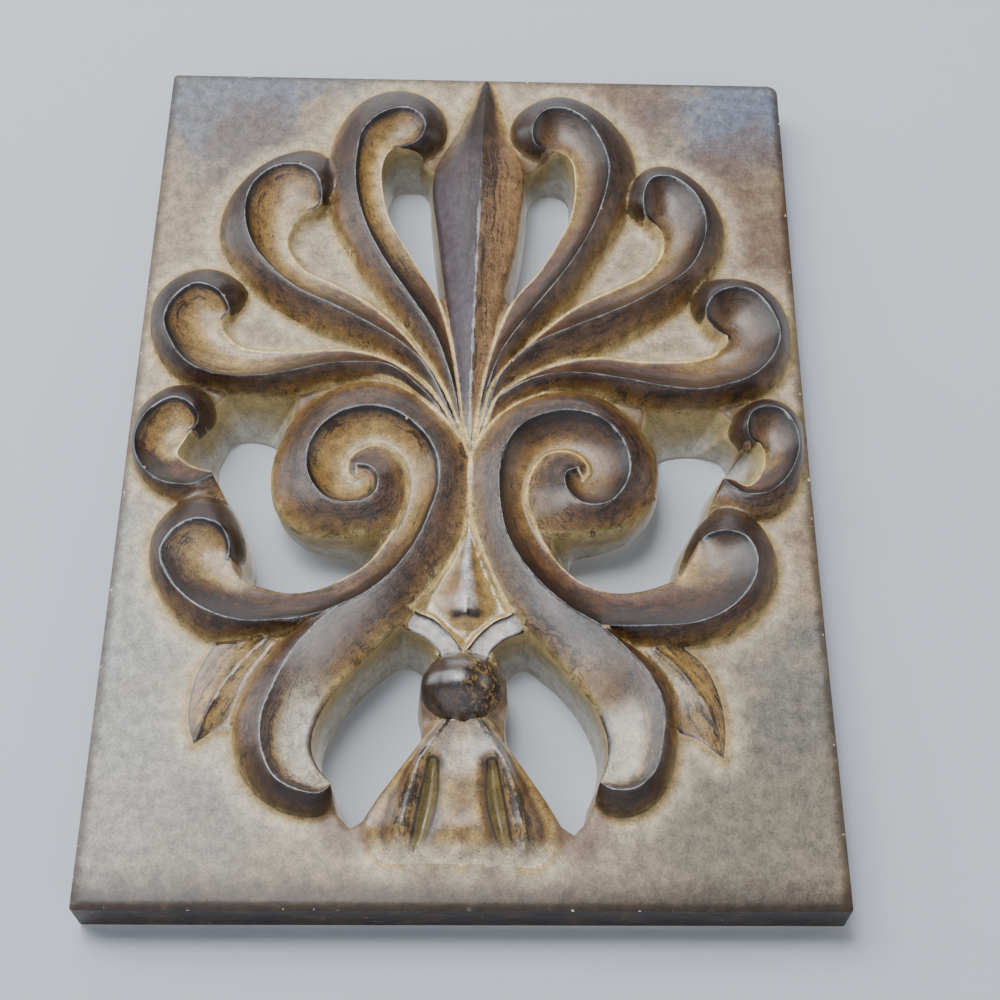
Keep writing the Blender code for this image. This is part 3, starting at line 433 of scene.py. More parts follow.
SECOND_LEAF = {
    "crest": (
        [(0.5, 102.5), (3, 107.5), (6.5, 115), (10.5, 122), (16.5, 127.5), (25, 133), (33, 137.5),
         (40, 141), (47, 147), (52.5, 154.5), (55, 163.5), (54, 171.5), (50, 176.5), (45, 178), (40, 176),
         (37.5, 170.5), (38, 167), (40, 166)],
        [(1.4, 102.5), (3, 107.5), (4.7, 115), (7.5, 121.5), (13.5, 127.5), (23.5, 133), (34, 138.3),
         (42.5, 144), (49, 149.7), (52.5, 157.5), (53, 165), (50.5, 172), (45.5, 176.5), (41, 176.3),
         (38.8, 172), (39.2, 166), (42, 163.5)],
        [(0, 3.6), (0.05, 4), (0.26, CREST), (0.93, CREST), (1, CURL)],
    ),
    "foot": (
        [(0.6, 102.5), (3.5, 107.5), (9, 115.5), (15, 122.5), (23, 128), (32.5, 131.5), (42, 136.5),
         (50, 142.5), (56.5, 150), (60.5, 156.5), (61.5, 164.5), (59.5, 172.5), (54, 180.5), (48, 185),
         (41.5, 186.5), (36.5, 183.5), (34, 177.5), (35, 171.5), (38.5, 167.5)],
        [(1.6, 102.5), (3.5, 107.5), (7, 116), (13, 121.7), (20, 125.3), (29, 129), (39, 135.3),
         (48, 142.5), (53.5, 149.5), (57, 157), (58, 165), (56, 173), (51, 180), (45, 183.7), (39.5, 182.7),
         (35.7, 177.5), (34.5, 172), (36.5, 167.5), (41, 165.5)],
        [(0, 3), (0.04, ROOT), (0.31, 0), (1, 0)],
    ),
    "lip": (
        [(0.4, 102.6), (2.5, 108), (6, 116.5), (11, 125), (16.5, 132.5), (24.5, 140), (32.5, 145),
         (40, 149), (44, 154), (45, 159), (43, 163.5), (40, 166)],
        [(1.3, 102.6), (2.5, 108), (4.6, 117), (9, 124.5), (15.5, 133), (23.5, 140.5), (33, 146.3),
         (38.5, 149.7), (42, 154), (43.5, 159), (43.2, 161.5), (42, 163.5)],
        [(0, 3), (0.07, ROOT), (0.4, PANEL_LIP), (0.91, PANEL_LIP), (1, CURL)],
    ),
}
THIRD_LEAF = {
    "crest": (
        [(0.5, 102), (3, 105.5), (7, 111.5), (12.5, 117), (18.5, 121), (25.5, 121.5), (33.5, 120.5),
         (42.5, 118), (50, 117), (57, 117.5), (63.5, 120.5), (68, 126.5), (70, 132), (68.5, 138), (64, 142),
         (59, 140.5), (56, 136.5), (57, 134.5)],
        [(1.4, 102), (3, 105.5), (5.5, 113.5), (10, 117), (16, 119.3), (24.5, 120), (34, 118.7), (43, 117),
         (51, 116.5), (57, 118), (62.5, 120.5), (67, 125.5), (69, 132), (67, 139), (63, 143.8), (58, 144.3),
         (54, 141.5), (52.5, 137), (54.5, 134), (57.5, 132.5)],
        [(0, 3.6), (0.04, 4), (0.26, CREST), (0.93, CREST), (1, CURL)],
    ),
    "foot": (
        [(0.6, 101.8), (3.5, 105), (8.5, 111), (14.5, 116.5), (23, 119), (32, 118), (41.5, 115),
         (52, 115.5), (59.5, 117), (66, 119), (71.5, 125.5), (74.2, 133.5), (74, 141.5), (69.5, 147.5),
         (63.5, 150), (57.5, 148.5), (53, 144), (53.5, 139.5), (56, 136)],
        [(1.6, 101.8), (3.5, 105), (6.5, 110.5), (12, 115), (18.5, 117.7), (26, 118), (33, 116), (42, 114),
         (52, 114.5), (60, 116.3), (66, 119.3), (70.5, 125), (72, 132.5), (71, 142), (66, 148.5),
         (59, 150.5), (52.5, 149), (49.5, 143.5), (51, 138), (56.5, 136)],
        [(0, 3), (0.03, ROOT), (0.09, 2.5), (0.15, 2), (0.22, 1), (0.28, 0), (0.36, -2), (0.44, -3),
         (0.5, -1), (0.55, 0), (1, 0)],
    ),
    "lip": (
        [(0.6, 102.3), (3.5, 107), (7, 113.5), (12.5, 120), (20, 125), (28, 127), (37, 126.5), (46, 126),
         (52.5, 127), (56.5, 130.5), (57.5, 132.5), (57, 134.5)],
        [(1.6, 102.3), (3.5, 107), (6.5, 115.3), (12.5, 121), (20, 124.8), (28.5, 126.5), (39, 125.7),
         (50, 126.5), (55, 128.5), (57.5, 131), (57.5, 132.5)],
        [(0, 3), (0.08, ROOT), (0.4, PANEL_LIP), (0.91, PANEL_LIP), (1, CURL)],
    ),
}
FOURTH_LEAF = {
    "crest": (
        [(54.5, 94), (58, 91), (62, 89.5), (66.5, 90.5), (70, 93.5), (72.3, 98), (72.3, 104), (70, 108.5),
         (65.5, 111.5), (61.5, 110), (59.5, 106.5), (61, 104)],
        [(55, 96), (57.5, 93), (60.5, 91), (64, 91), (67.5, 93.5), (70.5, 98), (72, 103), (71.5, 107.5),
         (69, 112), (65.5, 113), (62, 111.3), (61, 108), (61.5, 105.8), (63.5, 104.5)],
        [(0, 3), (0.1, 4), (0.19, 5.5), (0.88, 5.5), (1, 3.5)],
    ),
    "foot": (
        [(51, 88.5), (56, 87), (62.5, 87.2), (68, 90), (72.3, 95), (74.4, 102), (74.2, 109), (71, 114.5),
         (66, 117.5), (61, 117), (57.5, 113.5), (56.5, 108.5), (59.5, 104)],
        [(51.5, 90), (55.5, 88.7), (61, 86.7), (66, 87.5), (70, 91.5), (72.5, 97.5), (73.7, 105),
         (73.3, 112), (70, 116.3), (66, 117.5), (62, 116.3), (58.5, 113), (57.3, 108.5), (59.5, 104.5)],
        [(0, 1), (0.08, 1), (0.19, 0), (0.8, 0), (0.85, -1), (0.92, -3), (1, -2)],
    ),
    "lip": (
        [(54.5, 94), (58.5, 95), (62, 97), (63.5, 98.8), (62.5, 101.5), (61, 104)],
        [(55, 96), (57.5, 95.7), (60.3, 94.3), (62.3, 95.5), (64.2, 99), (64.5, 102.5), (63.5, 104.5)],
        [(0, 3), (0.5, 2.5), (0.8, 2.7), (1, 3.5)],
    ),
}


def ease(t):
    """A share that starts and ends gently, held between 0 and 1."""
    t = np.clip(t, 0, 1)
    return t * t * (3 - 2 * t)


def smooth(points, closed=False):
    """A curve through the points by the centripetal Catmull-Rom rule."""
    knots = [np.array(point, float) for point in points]
    if closed:
        around = [knots[-1], *knots, knots[0], knots[1]]
    else:
        around = [2 * knots[0] - knots[1], *knots, 2 * knots[-1] - knots[-2]]
    curve = []
    for a, b, c, d in zip(around, around[1:], around[2:], around[3:]):
        first = max(math.dist(a, b), SHORTEST) ** 0.5
        second = first + max(math.dist(b, c), SHORTEST) ** 0.5
        third = second + max(math.dist(c, d), SHORTEST) ** 0.5
        for t in np.linspace(first, second, max(1, round(math.dist(b, c) / FINE)), endpoint=False):
            ab = a + (b - a) * t / first
            bc = b + (c - b) * (t - first) / (second - first)
            cd = c + (d - c) * (t - second) / (third - second)
            abc = ab + (bc - ab) * t / second
            bcd = bc + (cd - bc) * (t - first) / (third - first)
            curve.append(abc + (bcd - abc) * (t - first) / (second - first))
    if not closed:
        curve.append(knots[-1])
    return np.array(curve)


def place(line, side):
    """The line where it lies on the slab, on the right-hand side (1) or the left (-1)."""
    placed = np.array(line, float)
    u, v = placed[:, 0].copy(), placed[:, 1].copy()
    placed[:, 0] = side * u + LEAN * np.maximum(v - LEAN_FROM, 0)
    placed[:, 1] = v - TILT * side * u
    return placed


def raised(points, profile, side):
    """A pattern curve in place, with its heights."""
    curve = smooth(points)
    share = measure(curve)
    share /= share[-1]
    height = np.zeros(len(curve))
    for (start, low), (end, high) in zip(profile, profile[1:]):
        on = (share >= start) & (share <= end)
        height[on] = low + (high - low) * ease((share[on] - start) / (end - start))
    return place(np.column_stack([curve, height]), side)


def draw(name, shape):
    """Lays both halves of a shape on the slab. The halves of a small shape are alike."""
    for side in (-1, 1):
        for part, (*points, profile) in shape.items():
            chosen = points[side > 0] if len(points) == 2 else points[0]
            curves[side][f"{name} {part}"] = raised(chosen, profile, side)


def carve(low, high, finish, **shape):
    """Stretches a surface from a low curve to a high one, on each side. Curves that meet run on as one."""
    for side in (-1, 1):
        lines = []
        for parts in (low, high):
            found = [curves[side][part] for part in parts.split(" + ")]
            lines.append(np.vstack([found[0][::-1], found[1][1:]]) if len(found) == 2 else found[0])
        joint = measure(found[0])[-1] if len(found) == 2 and "second" in shape else 0
        own = {key: value[side > 0] if isinstance(value, dict) else value for key, value in shape.items()}
        surface = {"low": lines[0], "high": lines[1], "finish": finish, "side": side, "joint": joint}
        surfaces.append(surface | own)


curves = {-1: {}, 1: {}}
surfaces = []
for name, shape in (
    ("first", FIRST_LEAF), ("second", SECOND_LEAF), ("third", THIRD_LEAF), ("fourth", FOURTH_LEAF),
):
    draw(name, shape)
    carve(f"{name} foot", f"{name} crest", "back")
    carve(f"{name} lip", f"{name} crest", "hollow", scoop=(-1, 1), bowl=0.35)


# A dark glaze was brushed over the ornament along each stroke and wiped off again. It stays in streaks and
# cracks, more of it where the cover is high.
CRACK_LENGTH = 4.5
CRACK_WIDTH = 1.5

glaze, given, gives = new_group(
    "brushed glaze",
    {"Under": "Color", "Glaze": "Color", "Cover": 0.5, "Stroke": "Vector", "Length": 14.0, "Width": 1.2,
     "Cracks": 0.5},
    {"Tone": "Color", "Height": "Float"},
)
where = in_millimetres(glaze)
along, across, _ = split(given["Stroke"])
across = across + swing(noise(where, 8.0, 3.0), 3.5)
pattern = noise(where, 1.1, 5.0, 0.75) * 0.32
for finer, detail, part in ((1.0, 5.0, 0.46), (0.25, 3.0, 0.22)):
    run = {0: along / (given["Length"] * finer**0.5), 1: across / (given["Width"] * finer)}
    streak = noise(put("ShaderNodeCombineXYZ", run)[0], 1.0, detail, 0.62)
    pattern = streak * part + pattern
limit = 0.66 - given["Cover"] * 0.32
dark = between(pattern, limit - 0.05, limit + 0.06)
wavy = {0: along / CRACK_LENGTH + noise(where, 1.8, 4.0, 0.6) * 1.6,
        1: across / CRACK_WIDTH + noise(where, 1.5, 4.0, 0.6) * 2.2}
seams = {"Vector": put("ShaderNodeCombineXYZ", wavy)[0], "Scale": 1.0}
crack = 1.0 - between(put("ShaderNodeTexVoronoi", seams, feature="DISTANCE_TO_EDGE")[0], 0.015, 0.07)
crack = crack * between(noise(where, 5.0, 3.0), 0.46, 0.6) * given["Cracks"]
cover = reckon("MAXIMUM", dark * 0.85, crack * 0.8)
height = streak * 0.07 - crack * 0.05 + dark * 0.02
give(gives, Tone=blend(cover, given["Under"], given["Glaze"]), Height=height)

# A line along an arris where the stain is rubbed off and a highlight is painted, broken here and there.
worn_highlit_line, given, gives = new_group("worn edge with painted highlight", {"Distance": 1.0, "Width": 0.3}, {"Rubbed": "Float"})
wide = given["Width"] * between(noise(in_millimetres(worn_highlit_line), 4.0, 4.0, 0.65), 0.36, 0.64, 0.2, 1.3)
give(gives, Rubbed=1.0 - between(abs(given["Distance"]), wide * 0.3, wide + 0.02))

FOOT_TAN = colour(192, 174, 132)
GOLD_TAN = colour(184, 158, 108)
GOLD_BROWN = colour(154, 126, 84)
BROWN = colour(116, 90, 66)
GLAZED_BROWN = colour(110, 88, 74)
DARK_BROWN = colour(66, 48, 38)
PLUM_BLACK = colour(46, 36, 40)
# The silvery crest line is worn stain with a painted highlight.
WORN_SILVER_AND_HIGHLIGHT = colour(196, 200, 204)


def ramp(share, *stops):
    """A run of colours by share."""
    made = put("ShaderNodeValToRGB", {0: share})
    bar = made.node.color_ramp
    while len(bar.elements) < len(stops):
        bar.elements.new(0.5)
    for element, (at, tint) in zip(bar.elements, stops):
        element.position = at
        element.color = tint
    return made[0]


def crested(on, tone, width=0.2, strength=0.5):
    """The tone with a silvery line along the crest: the stain worn off, with a painted highlight."""
    return blend(use(worn_highlit_line, Distance=on.across, Width=width)["Rubbed"] * strength, tone, WORN_SILVER_AND_HIGHLIGHT)


# The rounded backs: pale at the foot, golden brown above, darker under the crest, plum-black at the curl.
aged, given, gives = new_group(
    "aged back", {"Share": 0.0, "Reach": 0.0, "Stroke": "Vector"}, {"Tone": "Color", "Height": "Float"}
)
patchy = noise(in_millimetres(aged), 9.0, 4.0, 0.6)
up = given["Share"] + swing(patchy, 0.5)
tone = ramp(up, (0.0, FOOT_TAN), (0.14, GOLD_BROWN), (0.5, BROWN), (0.95, GLAZED_BROWN))
curl = between(given["Reach"] + swing(patchy, 0.25), 0.5, 0.85)
tone = blend(curl * 0.55, tone, PLUM_BLACK)
cover = between(up, 0.05, 0.95, 0.12, 0.5) + swing(patchy, 1.2)
brushed = use(glaze, Under=tone, Glaze=DARK_BROWN, Cover=cover, Stroke=given["Stroke"], Width=0.9, Cracks=0.9)
give(gives, Tone=brushed["Tone"], Height=brushed["Height"])

on = new_stain("back", "glazed back", 0.42, 0.3)
brushed = use(aged, Share=on.share + 1.0, Reach=on.reach, Stroke=on.stroke)
finish_with(on, beaded(on, crested(on, brushed["Tone"])), 1.3, 0.4, 1.0, (brushed["Height"], 1.0))

# The hollows are reddish brown along the leaf, more golden towards the upper left, and were wiped to gold in
# the bowl. Under the crest a dark line of glaze is deepened by painted shade.
RED_BROWN = colour(120, 88, 68)
RED_DARK = colour(104, 76, 54)
PALE_TAN = colour(200, 186, 156)

on = new_stain("hollow", "wiped hollow", 0.42, 0.3)
patchy = noise(on.where, 8.0, 4.0, 0.6)
x, _, z = split(on.where)
out = on.share + swing(patchy, 0.4)
strip = ramp(out, (0.02, DARK_BROWN), (0.4, RED_DARK), (0.85, RED_BROWN), (1.0, GOLD_BROWN))
golden = between(z - x * 0.8 + swing(patchy, 40.0), 35.0, 90.0, 0.0, 0.65)
strip = blend(golden * between(out, 0.05, 0.35), strip, GOLD_TAN)
left_bowl = ramp(out, (0.02, DARK_BROWN), (0.2, GOLD_BROWN), (0.6, GOLD_TAN), (1.0, PALE_TAN))
right_bowl = ramp(out, (0.02, DARK_BROWN), (0.4, BROWN), (0.7, GOLD_BROWN), (1.0, GOLD_TAN))
bowl = blend(between(x + swing(patchy, 30.0), -15.0, 15.0), left_bowl, right_bowl)
opened = between(on.reach + swing(patchy, 0.2), 0.36, 0.58)
wiped = reckon("MAXIMUM", opened, golden) * 0.25
cover = between(out, 0.0, 0.9, 0.7, 0.3) + swing(patchy, 1.0) - wiped
tone = blend(opened, strip, bowl)
brushed = use(glaze, Under=tone, Glaze=DARK_BROWN, Cover=cover, Stroke=on.stroke, Cracks=0.3)
# Painted shade: the hollow darkens towards plum-black just under the crest.
shadow = between(on.across + swing(patchy, 0.6), 1.1, 0.5, 0.0, 0.85)
tone = crested(on, blend(shadow, brushed["Tone"], PLUM_BLACK))
finish_with(on, beaded(on, tone), 1.3, 0.35, 0.8, (brushed["Height"], 0.6))

# ------------------------------------------------------------------------------------------------------------
# Under the palmette a fifth leaf on each side runs on into a volute, which rounds the opening and coils in to
# its eye. Leaf and volute share one hollow, and their crest is one unbroken arris.

FIFTH_LEAF = {
    "crest": (
        [(26, 61), (32, 58.5), (38, 57.5), (45, 57), (51.5, 58.5), (57.5, 62), (62, 67), (64, 72.5),
         (62, 77.5), (57.5, 80.5), (52.5, 79.5), (50, 76), (50, 72.5)],
        [(28, 58), (38, 58.3), (48, 59.5), (55.5, 63.7), (60.2, 70.3), (60.8, 76), (58.5, 80), (54, 81),
         (51, 80.7), (49.8, 79.5)],
        [(0, CREST), (0.9, CREST), (1, CURL)],
    ),
    "foot": (
        [(28.5, 60), (36.5, 57), (45, 55), (52.5, 54.5), (58.5, 58), (64, 64.5), (67, 72), (67, 80),
         (63.5, 86), (57.5, 89.5), (52, 87.5), (48.3, 81.5), (46.8, 75), (48, 71)],
        [(30, 57.5), (36.5, 55.5), (45, 56), (54, 58.5), (61.5, 64), (65.5, 72), (65.3, 80), (61.5, 87),
         (55.5, 89.3), (51, 87), (47.8, 82), (46, 77.5), (45, 74), (44.8, 71)],
        [(0, 2), (0.09, 0.5), (0.18, 0), (0.75, 0), (0.81, -1), (0.88, -2), (0.95, -2), (1, 2)],
    ),
}
# The volute rises from the fifth leaf, runs round the opening and coils in to its eye. Its hollow begins in
# the fifth leaf, so one lip serves both.
VOLUTE = {
    "crest": (
        [(26, 61), (20, 64.5), (15, 69.5), (11, 75.5), (8, 83), (6, 91), (7, 99), (11.5, 105.5),
         (18, 109.5), (25, 109.5), (31, 106), (34.5, 99), (34, 92), (30, 86.5), (24.5, 85.5), (20, 87.5),
         (19, 91.5), (21, 95.5), (24, 96.5)],
        [(28, 58), (21, 62.5), (14, 69.5), (9, 78), (7, 88), (7.5, 98), (11.5, 106), (20, 110),
         (28.5, 108.5), (34, 102), (34.8, 94), (30.5, 87.3), (25, 86.7), (21.3, 90.5), (21.5, 95.5),
         (24, 97)],
        [(0, CREST), (0.93, CREST), (1, CURL)],
    ),
    "foot": (
        [(13, 58.5), (9, 64.5), (5, 71.5), (1.7, 78.5), (-0.2, 87), (-0.4, 99.3), (3.5, 106), (9.5, 112.5),
         (16, 117.5), (23, 119.5), (30, 118), (37, 113), (41.5, 104.5), (43, 94.5), (41, 85.5), (36, 80.5),
         (29.5, 79.5), (22, 79.5), (18, 80), (15, 82), (13, 90), (14, 97.5), (18, 101.5), (22, 101.5),
         (25.5, 98.5), (26, 94.5), (24, 92.5)],
        [(13.5, 57.5), (10, 61.5), (5.5, 69), (2.6, 77), (0.9, 86), (0.8, 99.3), (2.8, 104.2), (7, 110.5),
         (13, 115), (21.5, 118), (30, 116.5), (37, 110.5), (41, 103.5), (41.7, 96), (39.5, 88.5), (35, 84),
         (29.5, 82), (23, 80.5), (18, 80.3), (14.8, 82.5), (12.8, 89), (13.7, 95.5), (17, 100.5),
         (21.5, 101.5), (25, 99.7), (26.3, 96.7), (25, 94.3)],
        [(0, 4), (0.04, 3), (0.08, 2), (0.17, 2), (0.23, ROOT), (0.275, ROOT), (0.32, 2.5), (0.37, 2),
         (0.41, 1), (0.445, 0.5), (0.49, -1), (0.54, -1), (0.6, 0), (0.65, 0.5), (0.7, 1), (0.78, 2),
         (1, 2.5)],
    ),
    "lip": (
        [(50, 72.5), (47, 68), (42, 66), (37, 65), (31, 66), (25.5, 69), (22, 71.5), (18, 76.5), (15, 82),
         (13, 90), (14, 97.5), (18, 101.5), (22, 101.5), (25.5, 98.5), (26, 94.5), (24, 92.5)],
        [(49.8, 79.5), (48, 76), (45.3, 71.5), (41.5, 69.3), (36, 67.5), (30, 67.3), (25, 69), (21, 72.3),
         (17.3, 77.3), (14.8, 82.5), (12.8, 89), (13.7, 95.5), (17, 100.5), (21.5, 101.5), (25, 99.7),
         (26.3, 96.7), (25, 94.3)],
        [(0, 4), (0.065, 3.5), (0.2, 3.5), (0.34, 3), (0.47, 2.5), (0.55, 2), (0.81, 2), (1, 2.5)],
    ),
}

draw("fifth", FIFTH_LEAF)
draw("volute", VOLUTE)
carve("fifth foot", "fifth crest", "back")
carve("volute lip", "fifth crest + volute crest", "hollow", scoop=(-1, 1), open=80)

# ------------------------------------------------------------------------------------------------------------
# The back of each volute runs on into a long scroll beside the lower opening, which grows hollow on the way.
# A flat pointed leaf with one rib grows out from behind it.

SCROLL = {
    "crest": (
        [(26, 61), (31, 56), (35.5, 49.5), (38.5, 42.5), (40.3, 35.5), (39.5, 29), (36.5, 23.5), (31.5, 21),
         (27.5, 21), (25.5, 23)],
        [(28, 58), (32.5, 53.5), (37.5, 47.5), (40, 41), (39.7, 34.5), (38, 27.5), (34, 23.5), (29.5, 23.3),
         (27, 24.8)],
        [(0, CREST), (0.5, 6.2), (0.85, 6), (1, 5)],
    ),
    "foot": (
        [(30.5, 60.5), (36.5, 56), (42, 49.5), (45.5, 42), (46.5, 34), (44.5, 26.5), (39.5, 20.5),
         (33, 17.5), (27, 18), (24.5, 22)],
        [(30.5, 57.5), (36, 54.3), (41.5, 48), (42.9, 40), (42.7, 33), (41, 26.5), (37.5, 21.5), (32, 19),
         (27.5, 20), (25.5, 23.5)],
        [(0, 2), (0.11, 1), (0.24, 0), (0.83, 0), (1, -1)],
    ),
    "lip": (
        [(13, 58.5), (17.3, 53.5), (22, 48), (26.5, 42), (29.5, 35.5), (30, 30.5), (28.5, 26.5),
         (25.5, 23)],
        [(13.5, 57.5), (17.7, 52), (22, 46.7), (26.5, 40.5), (28.7, 34), (28.5, 29), (27, 24.8)],
        [(0, 4), (0.5, 4.2), (1, 4.5)],
    ),
}
SIDE_LEAF = {
    "edge": (
        [(47, 57), (51.5, 54), (54, 49), (55.5, 43.5), (55.5, 37), (54, 32)],
        [(44.5, 56.5), (49, 52.5), (52, 45), (52.7, 38), (52, 32)],
        [(0, 0.6), (1, 0.6)],
    ),
    "rib": (
        [(40.5, 55.5), (44.5, 51), (49, 44.5), (52, 37.5), (54, 32)],
        [(38.5, 55.3), (43, 51.5), (48, 44.5), (51, 36.5), (52, 32)],
        [(0, 2.5), (0.8, 2.2), (1, 1)],
    ),
    "seam": (
        [(38, 55), (42, 46), (46, 36.5), (50, 35), (54, 32)],
        [(36.5, 55), (41.5, 47), (43, 37.7), (47, 36), (52, 32)],
        [(0, 2), (0.35, 1.5), (0.7, 0.6), (1, 0.6)],
    ),
}

draw("scroll", SCROLL)
draw("side", SIDE_LEAF)
carve("scroll foot", "scroll crest", "back")
carve("volute foot + scroll lip", "volute crest + scroll crest", "back", second="channel",
      scoop={0: (8, 22), 1: (2, 22)})
for low in ("side edge", "side seam"):
    carve(low, "side rib", "leaf", scoop=(-9, 12))

# The stain runs on from the volute's back into the scroll's hollow, wiped further down to a pale grey that is
# partly a painted sheen.
SCROLL_GREY_AND_SHEEN = colour(192, 183, 165)

on = new_stain("channel", "scroll channel", 0.42, 0.3)
patchy = noise(on.where, 8.0, 4.0, 0.6)
upper = use(aged, Share=1.0 - on.share, Reach=0.0, Stroke=on.stroke)
out = on.share + swing(patchy, 0.3)
# The pale grey in the middle of the hollow is partly wiped stain and partly a painted sheen.
lower = ramp(
    out, (0.02, DARK_BROWN), (0.2, GOLD_BROWN), (0.42, SCROLL_GREY_AND_SHEEN), (0.86, SCROLL_GREY_AND_SHEEN), (1.0, DARK_BROWN)
)
cover = between(out, 0.1, 0.6, 0.6, 0.05) + swing(patchy, 0.6)
brushed = use(glaze, Under=lower, Glaze=DARK_BROWN, Cover=cover, Stroke=on.stroke, Cracks=0.5)
further = between(on.along + swing(patchy, 8.0), 12.0, 28.0)
tone = crested(on, blend(further, upper["Tone"], brushed["Tone"]))
finish_with(on, beaded(on, tone), 1.0, 0.3, 0.8, (brushed["Height"], 0.8))

# The pointed leaf is tan with pits beside the scroll, and grey-brown and streaked beyond its rib.
on = new_stain("leaf", "pointed leaf", 0.42, 0.5)
patchy = noise(on.where, 6.0, 4.0, 0.6)
out = on.share + 1.0 + swing(patchy, 0.4)
tone = ramp(out, (0.02, DARK_BROWN), (0.1, GOLD_BROWN), (0.7, GOLD_TAN), (1.0, GOLD_BROWN))
cover = between(out, 0.0, 1.0, 0.3, 0.4) + swing(patchy, 0.8) + between(on.reach, 0.8, 1.0, 0.0, 0.3)
brushed = use(glaze, Under=tone, Glaze=DARK_BROWN, Cover=cover, Stroke=on.stroke, Cracks=0.3)
finish_with(on, crested(on, brushed["Tone"], 0.3, 0.15), 1.2, 0.55, 0.8, (brushed["Height"], 0.7))

# ------------------------------------------------------------------------------------------------------------
# The spear stands in the middle of the palmette. Its two faces meet in a ridge, which sinks into the slab at
# the point. The upper part of each face is a little hollow.

SPEAR = {
    "edge": (
        [(-0.3, 101), (1, 107), (3.5, 123.5), (5.5, 134.5), (7, 143), (8.5, 152.5), (10, 163), (11.5, 173),
         (11.5, 180.5), (9.5, 187), (6.5, 194), (3.5, 203), (1, 211)],
        [(1, 101), (1.5, 107), (2.6, 118), (4.3, 128), (6, 142), (7.5, 149), (9, 157.5), (10, 170),
         (10.3, 180), (9, 186), (5.5, 196.5), (2.5, 207), (0.8, 211)],
        [(0, 3), (0.05, ROOT), (0.19, 3), (0.29, 2.5), (0.37, 2), (0.45, 1.5), (0.54, 1), (0.68, 1),
         (0.81, 0.3), (0.88, 0), (1, 0)],
    ),
    "ridge": (
        [(-0.5, 100.5), (-0.3, 106), (0, 115), (0, 140), (0, 180), (0, 211)],
        [(0.5, 100.5), (0.3, 106), (0, 115), (0, 140), (0, 180), (0, 211)],
        [(0, 3.3), (0.05, 4), (0.18, 5), (0.35, CREST), (0.71, CREST), (0.85, 5), (0.95, 3), (1, 0.5)],
    ),
}

draw("spear", SPEAR)
carve("spear edge", "spear ridge", "spear", scoop=(74, 20))

# Its left face is grey-brown and smooth, its right face browner and streaked from top to bottom. Both turn
# plum towards the point, which is rubbed to tan on its sides.
SPEAR_GREY = colour(98, 84, 88)
SPEAR_TAN = colour(172, 142, 108)

on = new_stain("spear", "glazed spear", 0.48, 0.2)
patchy = noise(on.where, 10.0, 4.0, 0.6)
right = on.share > 0.0
near = abs(on.share) + swing(patchy, 0.4)
tone = blend(right, SPEAR_GREY, SPEAR_TAN)
tone = blend(right * between(near, 0.1, 0.8, 0.5, 0.0), tone, BROWN)
tip = between(on.reach + swing(patchy, 0.15), 0.66, 0.95)
tone = blend(tip * between(near, 0.9, 0.3, 0.1, 0.9), tone, PLUM_BLACK)
tone = blend(tip * between(near, 0.45, 0.9, 0.0, 0.8), tone, GOLD_TAN)
tone = blend(between(on.reach, 0.02, 0.14, 0.8, 0.0), tone, FOOT_TAN)
cover = right * 0.12 + swing(patchy, 0.7) + between(near, 0.1, 0.8, 0.4, 0.15)
brushed = use(
    glaze, Under=tone, Glaze=DARK_BROWN, Cover=cover, Stroke=on.stroke, Length=22.0, Width=0.8, Cracks=0.2
)
# A broad silvery band along the upper part of the ridge is a painted sheen.
tone = crested(on, brushed["Tone"], 0.5, between(on.reach, 0.5, 0.75, 0.6, 0.0))
finish_with(on, beaded(on, tone), 1.3, 0.35, 1.2, (brushed["Height"], 0.7))

# ------------------------------------------------------------------------------------------------------------
# Below the volutes hang a soft-edged drop, a ribbon knotted round a ball, and a tassel. The tassel has two
# slots, cut in the model with a small gouge.

DROP = {
    "edge": (
        [(11.2, 61.9), (8.3, 65.6), (5.3, 70.6), (2.2, 76.3), (-0.4, 84)],
        [(10, 61.6), (8.7, 63.7), (6.6, 68.1), (4, 74.6), (0.8, 84)],
        [(0, 1.8), (1, 2)],
    ),
    "hem": (
        [(11.2, 61.9), (7.3, 60.8), (4.3, 57.8), (1.5, 53.6)],
        [(10, 61.6), (6, 59.8), (3, 57), (0.6, 53.6)],
        [(0, 1.8), (1, 1.6)],
    ),
    "ridge": (
        [(-0.5, 84), (-0.3, 70), (-0.2, 53.6)],
        [(0.5, 84), (0.3, 70), (0.2, 53.6)],
        [(0, 2), (0.35, 3.2), (0.65, 4.6), (0.75, 4.4), (0.86, 2.4), (1, 1.6)],
    ),
}
RIBBON = {
    "inner": ([(0.5, 53.4), (3, 56.8), (6.4, 60), (10.8, 61.8)], [(0, 2.6), (1, 2.6)]),
    "outer": ([(4.7, 50.5), (5.6, 53.3), (8, 55.8), (12.2, 57.8)], [(0, 2.6), (1, 2.6)]),
}
TASSEL = {
    "edge": ([(4.5, 38.5), (8, 34.5), (11.5, 29.5), (14.5, 25), (17.8, 19.5), (18.5, 14), (16, 9.5),
              (12.5, 8.5)],
             [(0, 1), (0.7, 1), (0.85, 0), (1, 0)]),
    "rib": ([(3, 38.5), (6, 33), (8.6, 28.5), (10.3, 23), (12, 16), (12.5, 8.5)],
            [(0, 4), (0.2, 5.5), (0.35, 5.5), (0.75, 4.2), (0.9, 3.4), (1, 0)]),
    "axis": ([(0, 38.5), (0, 33), (0, 28.5), (0, 23), (0, 16), (0, 8.5)],
             [(0, 3.4), (0.2, 4.9), (0.35, 4.9), (0.75, 3.6), (0.9, 2.8), (1, 0)]),
    "slot": ([(5.8, 28.2), (6.4, 22), (7.8, 15), (9, 11)], [(0, 0), (1, 0)]),
}

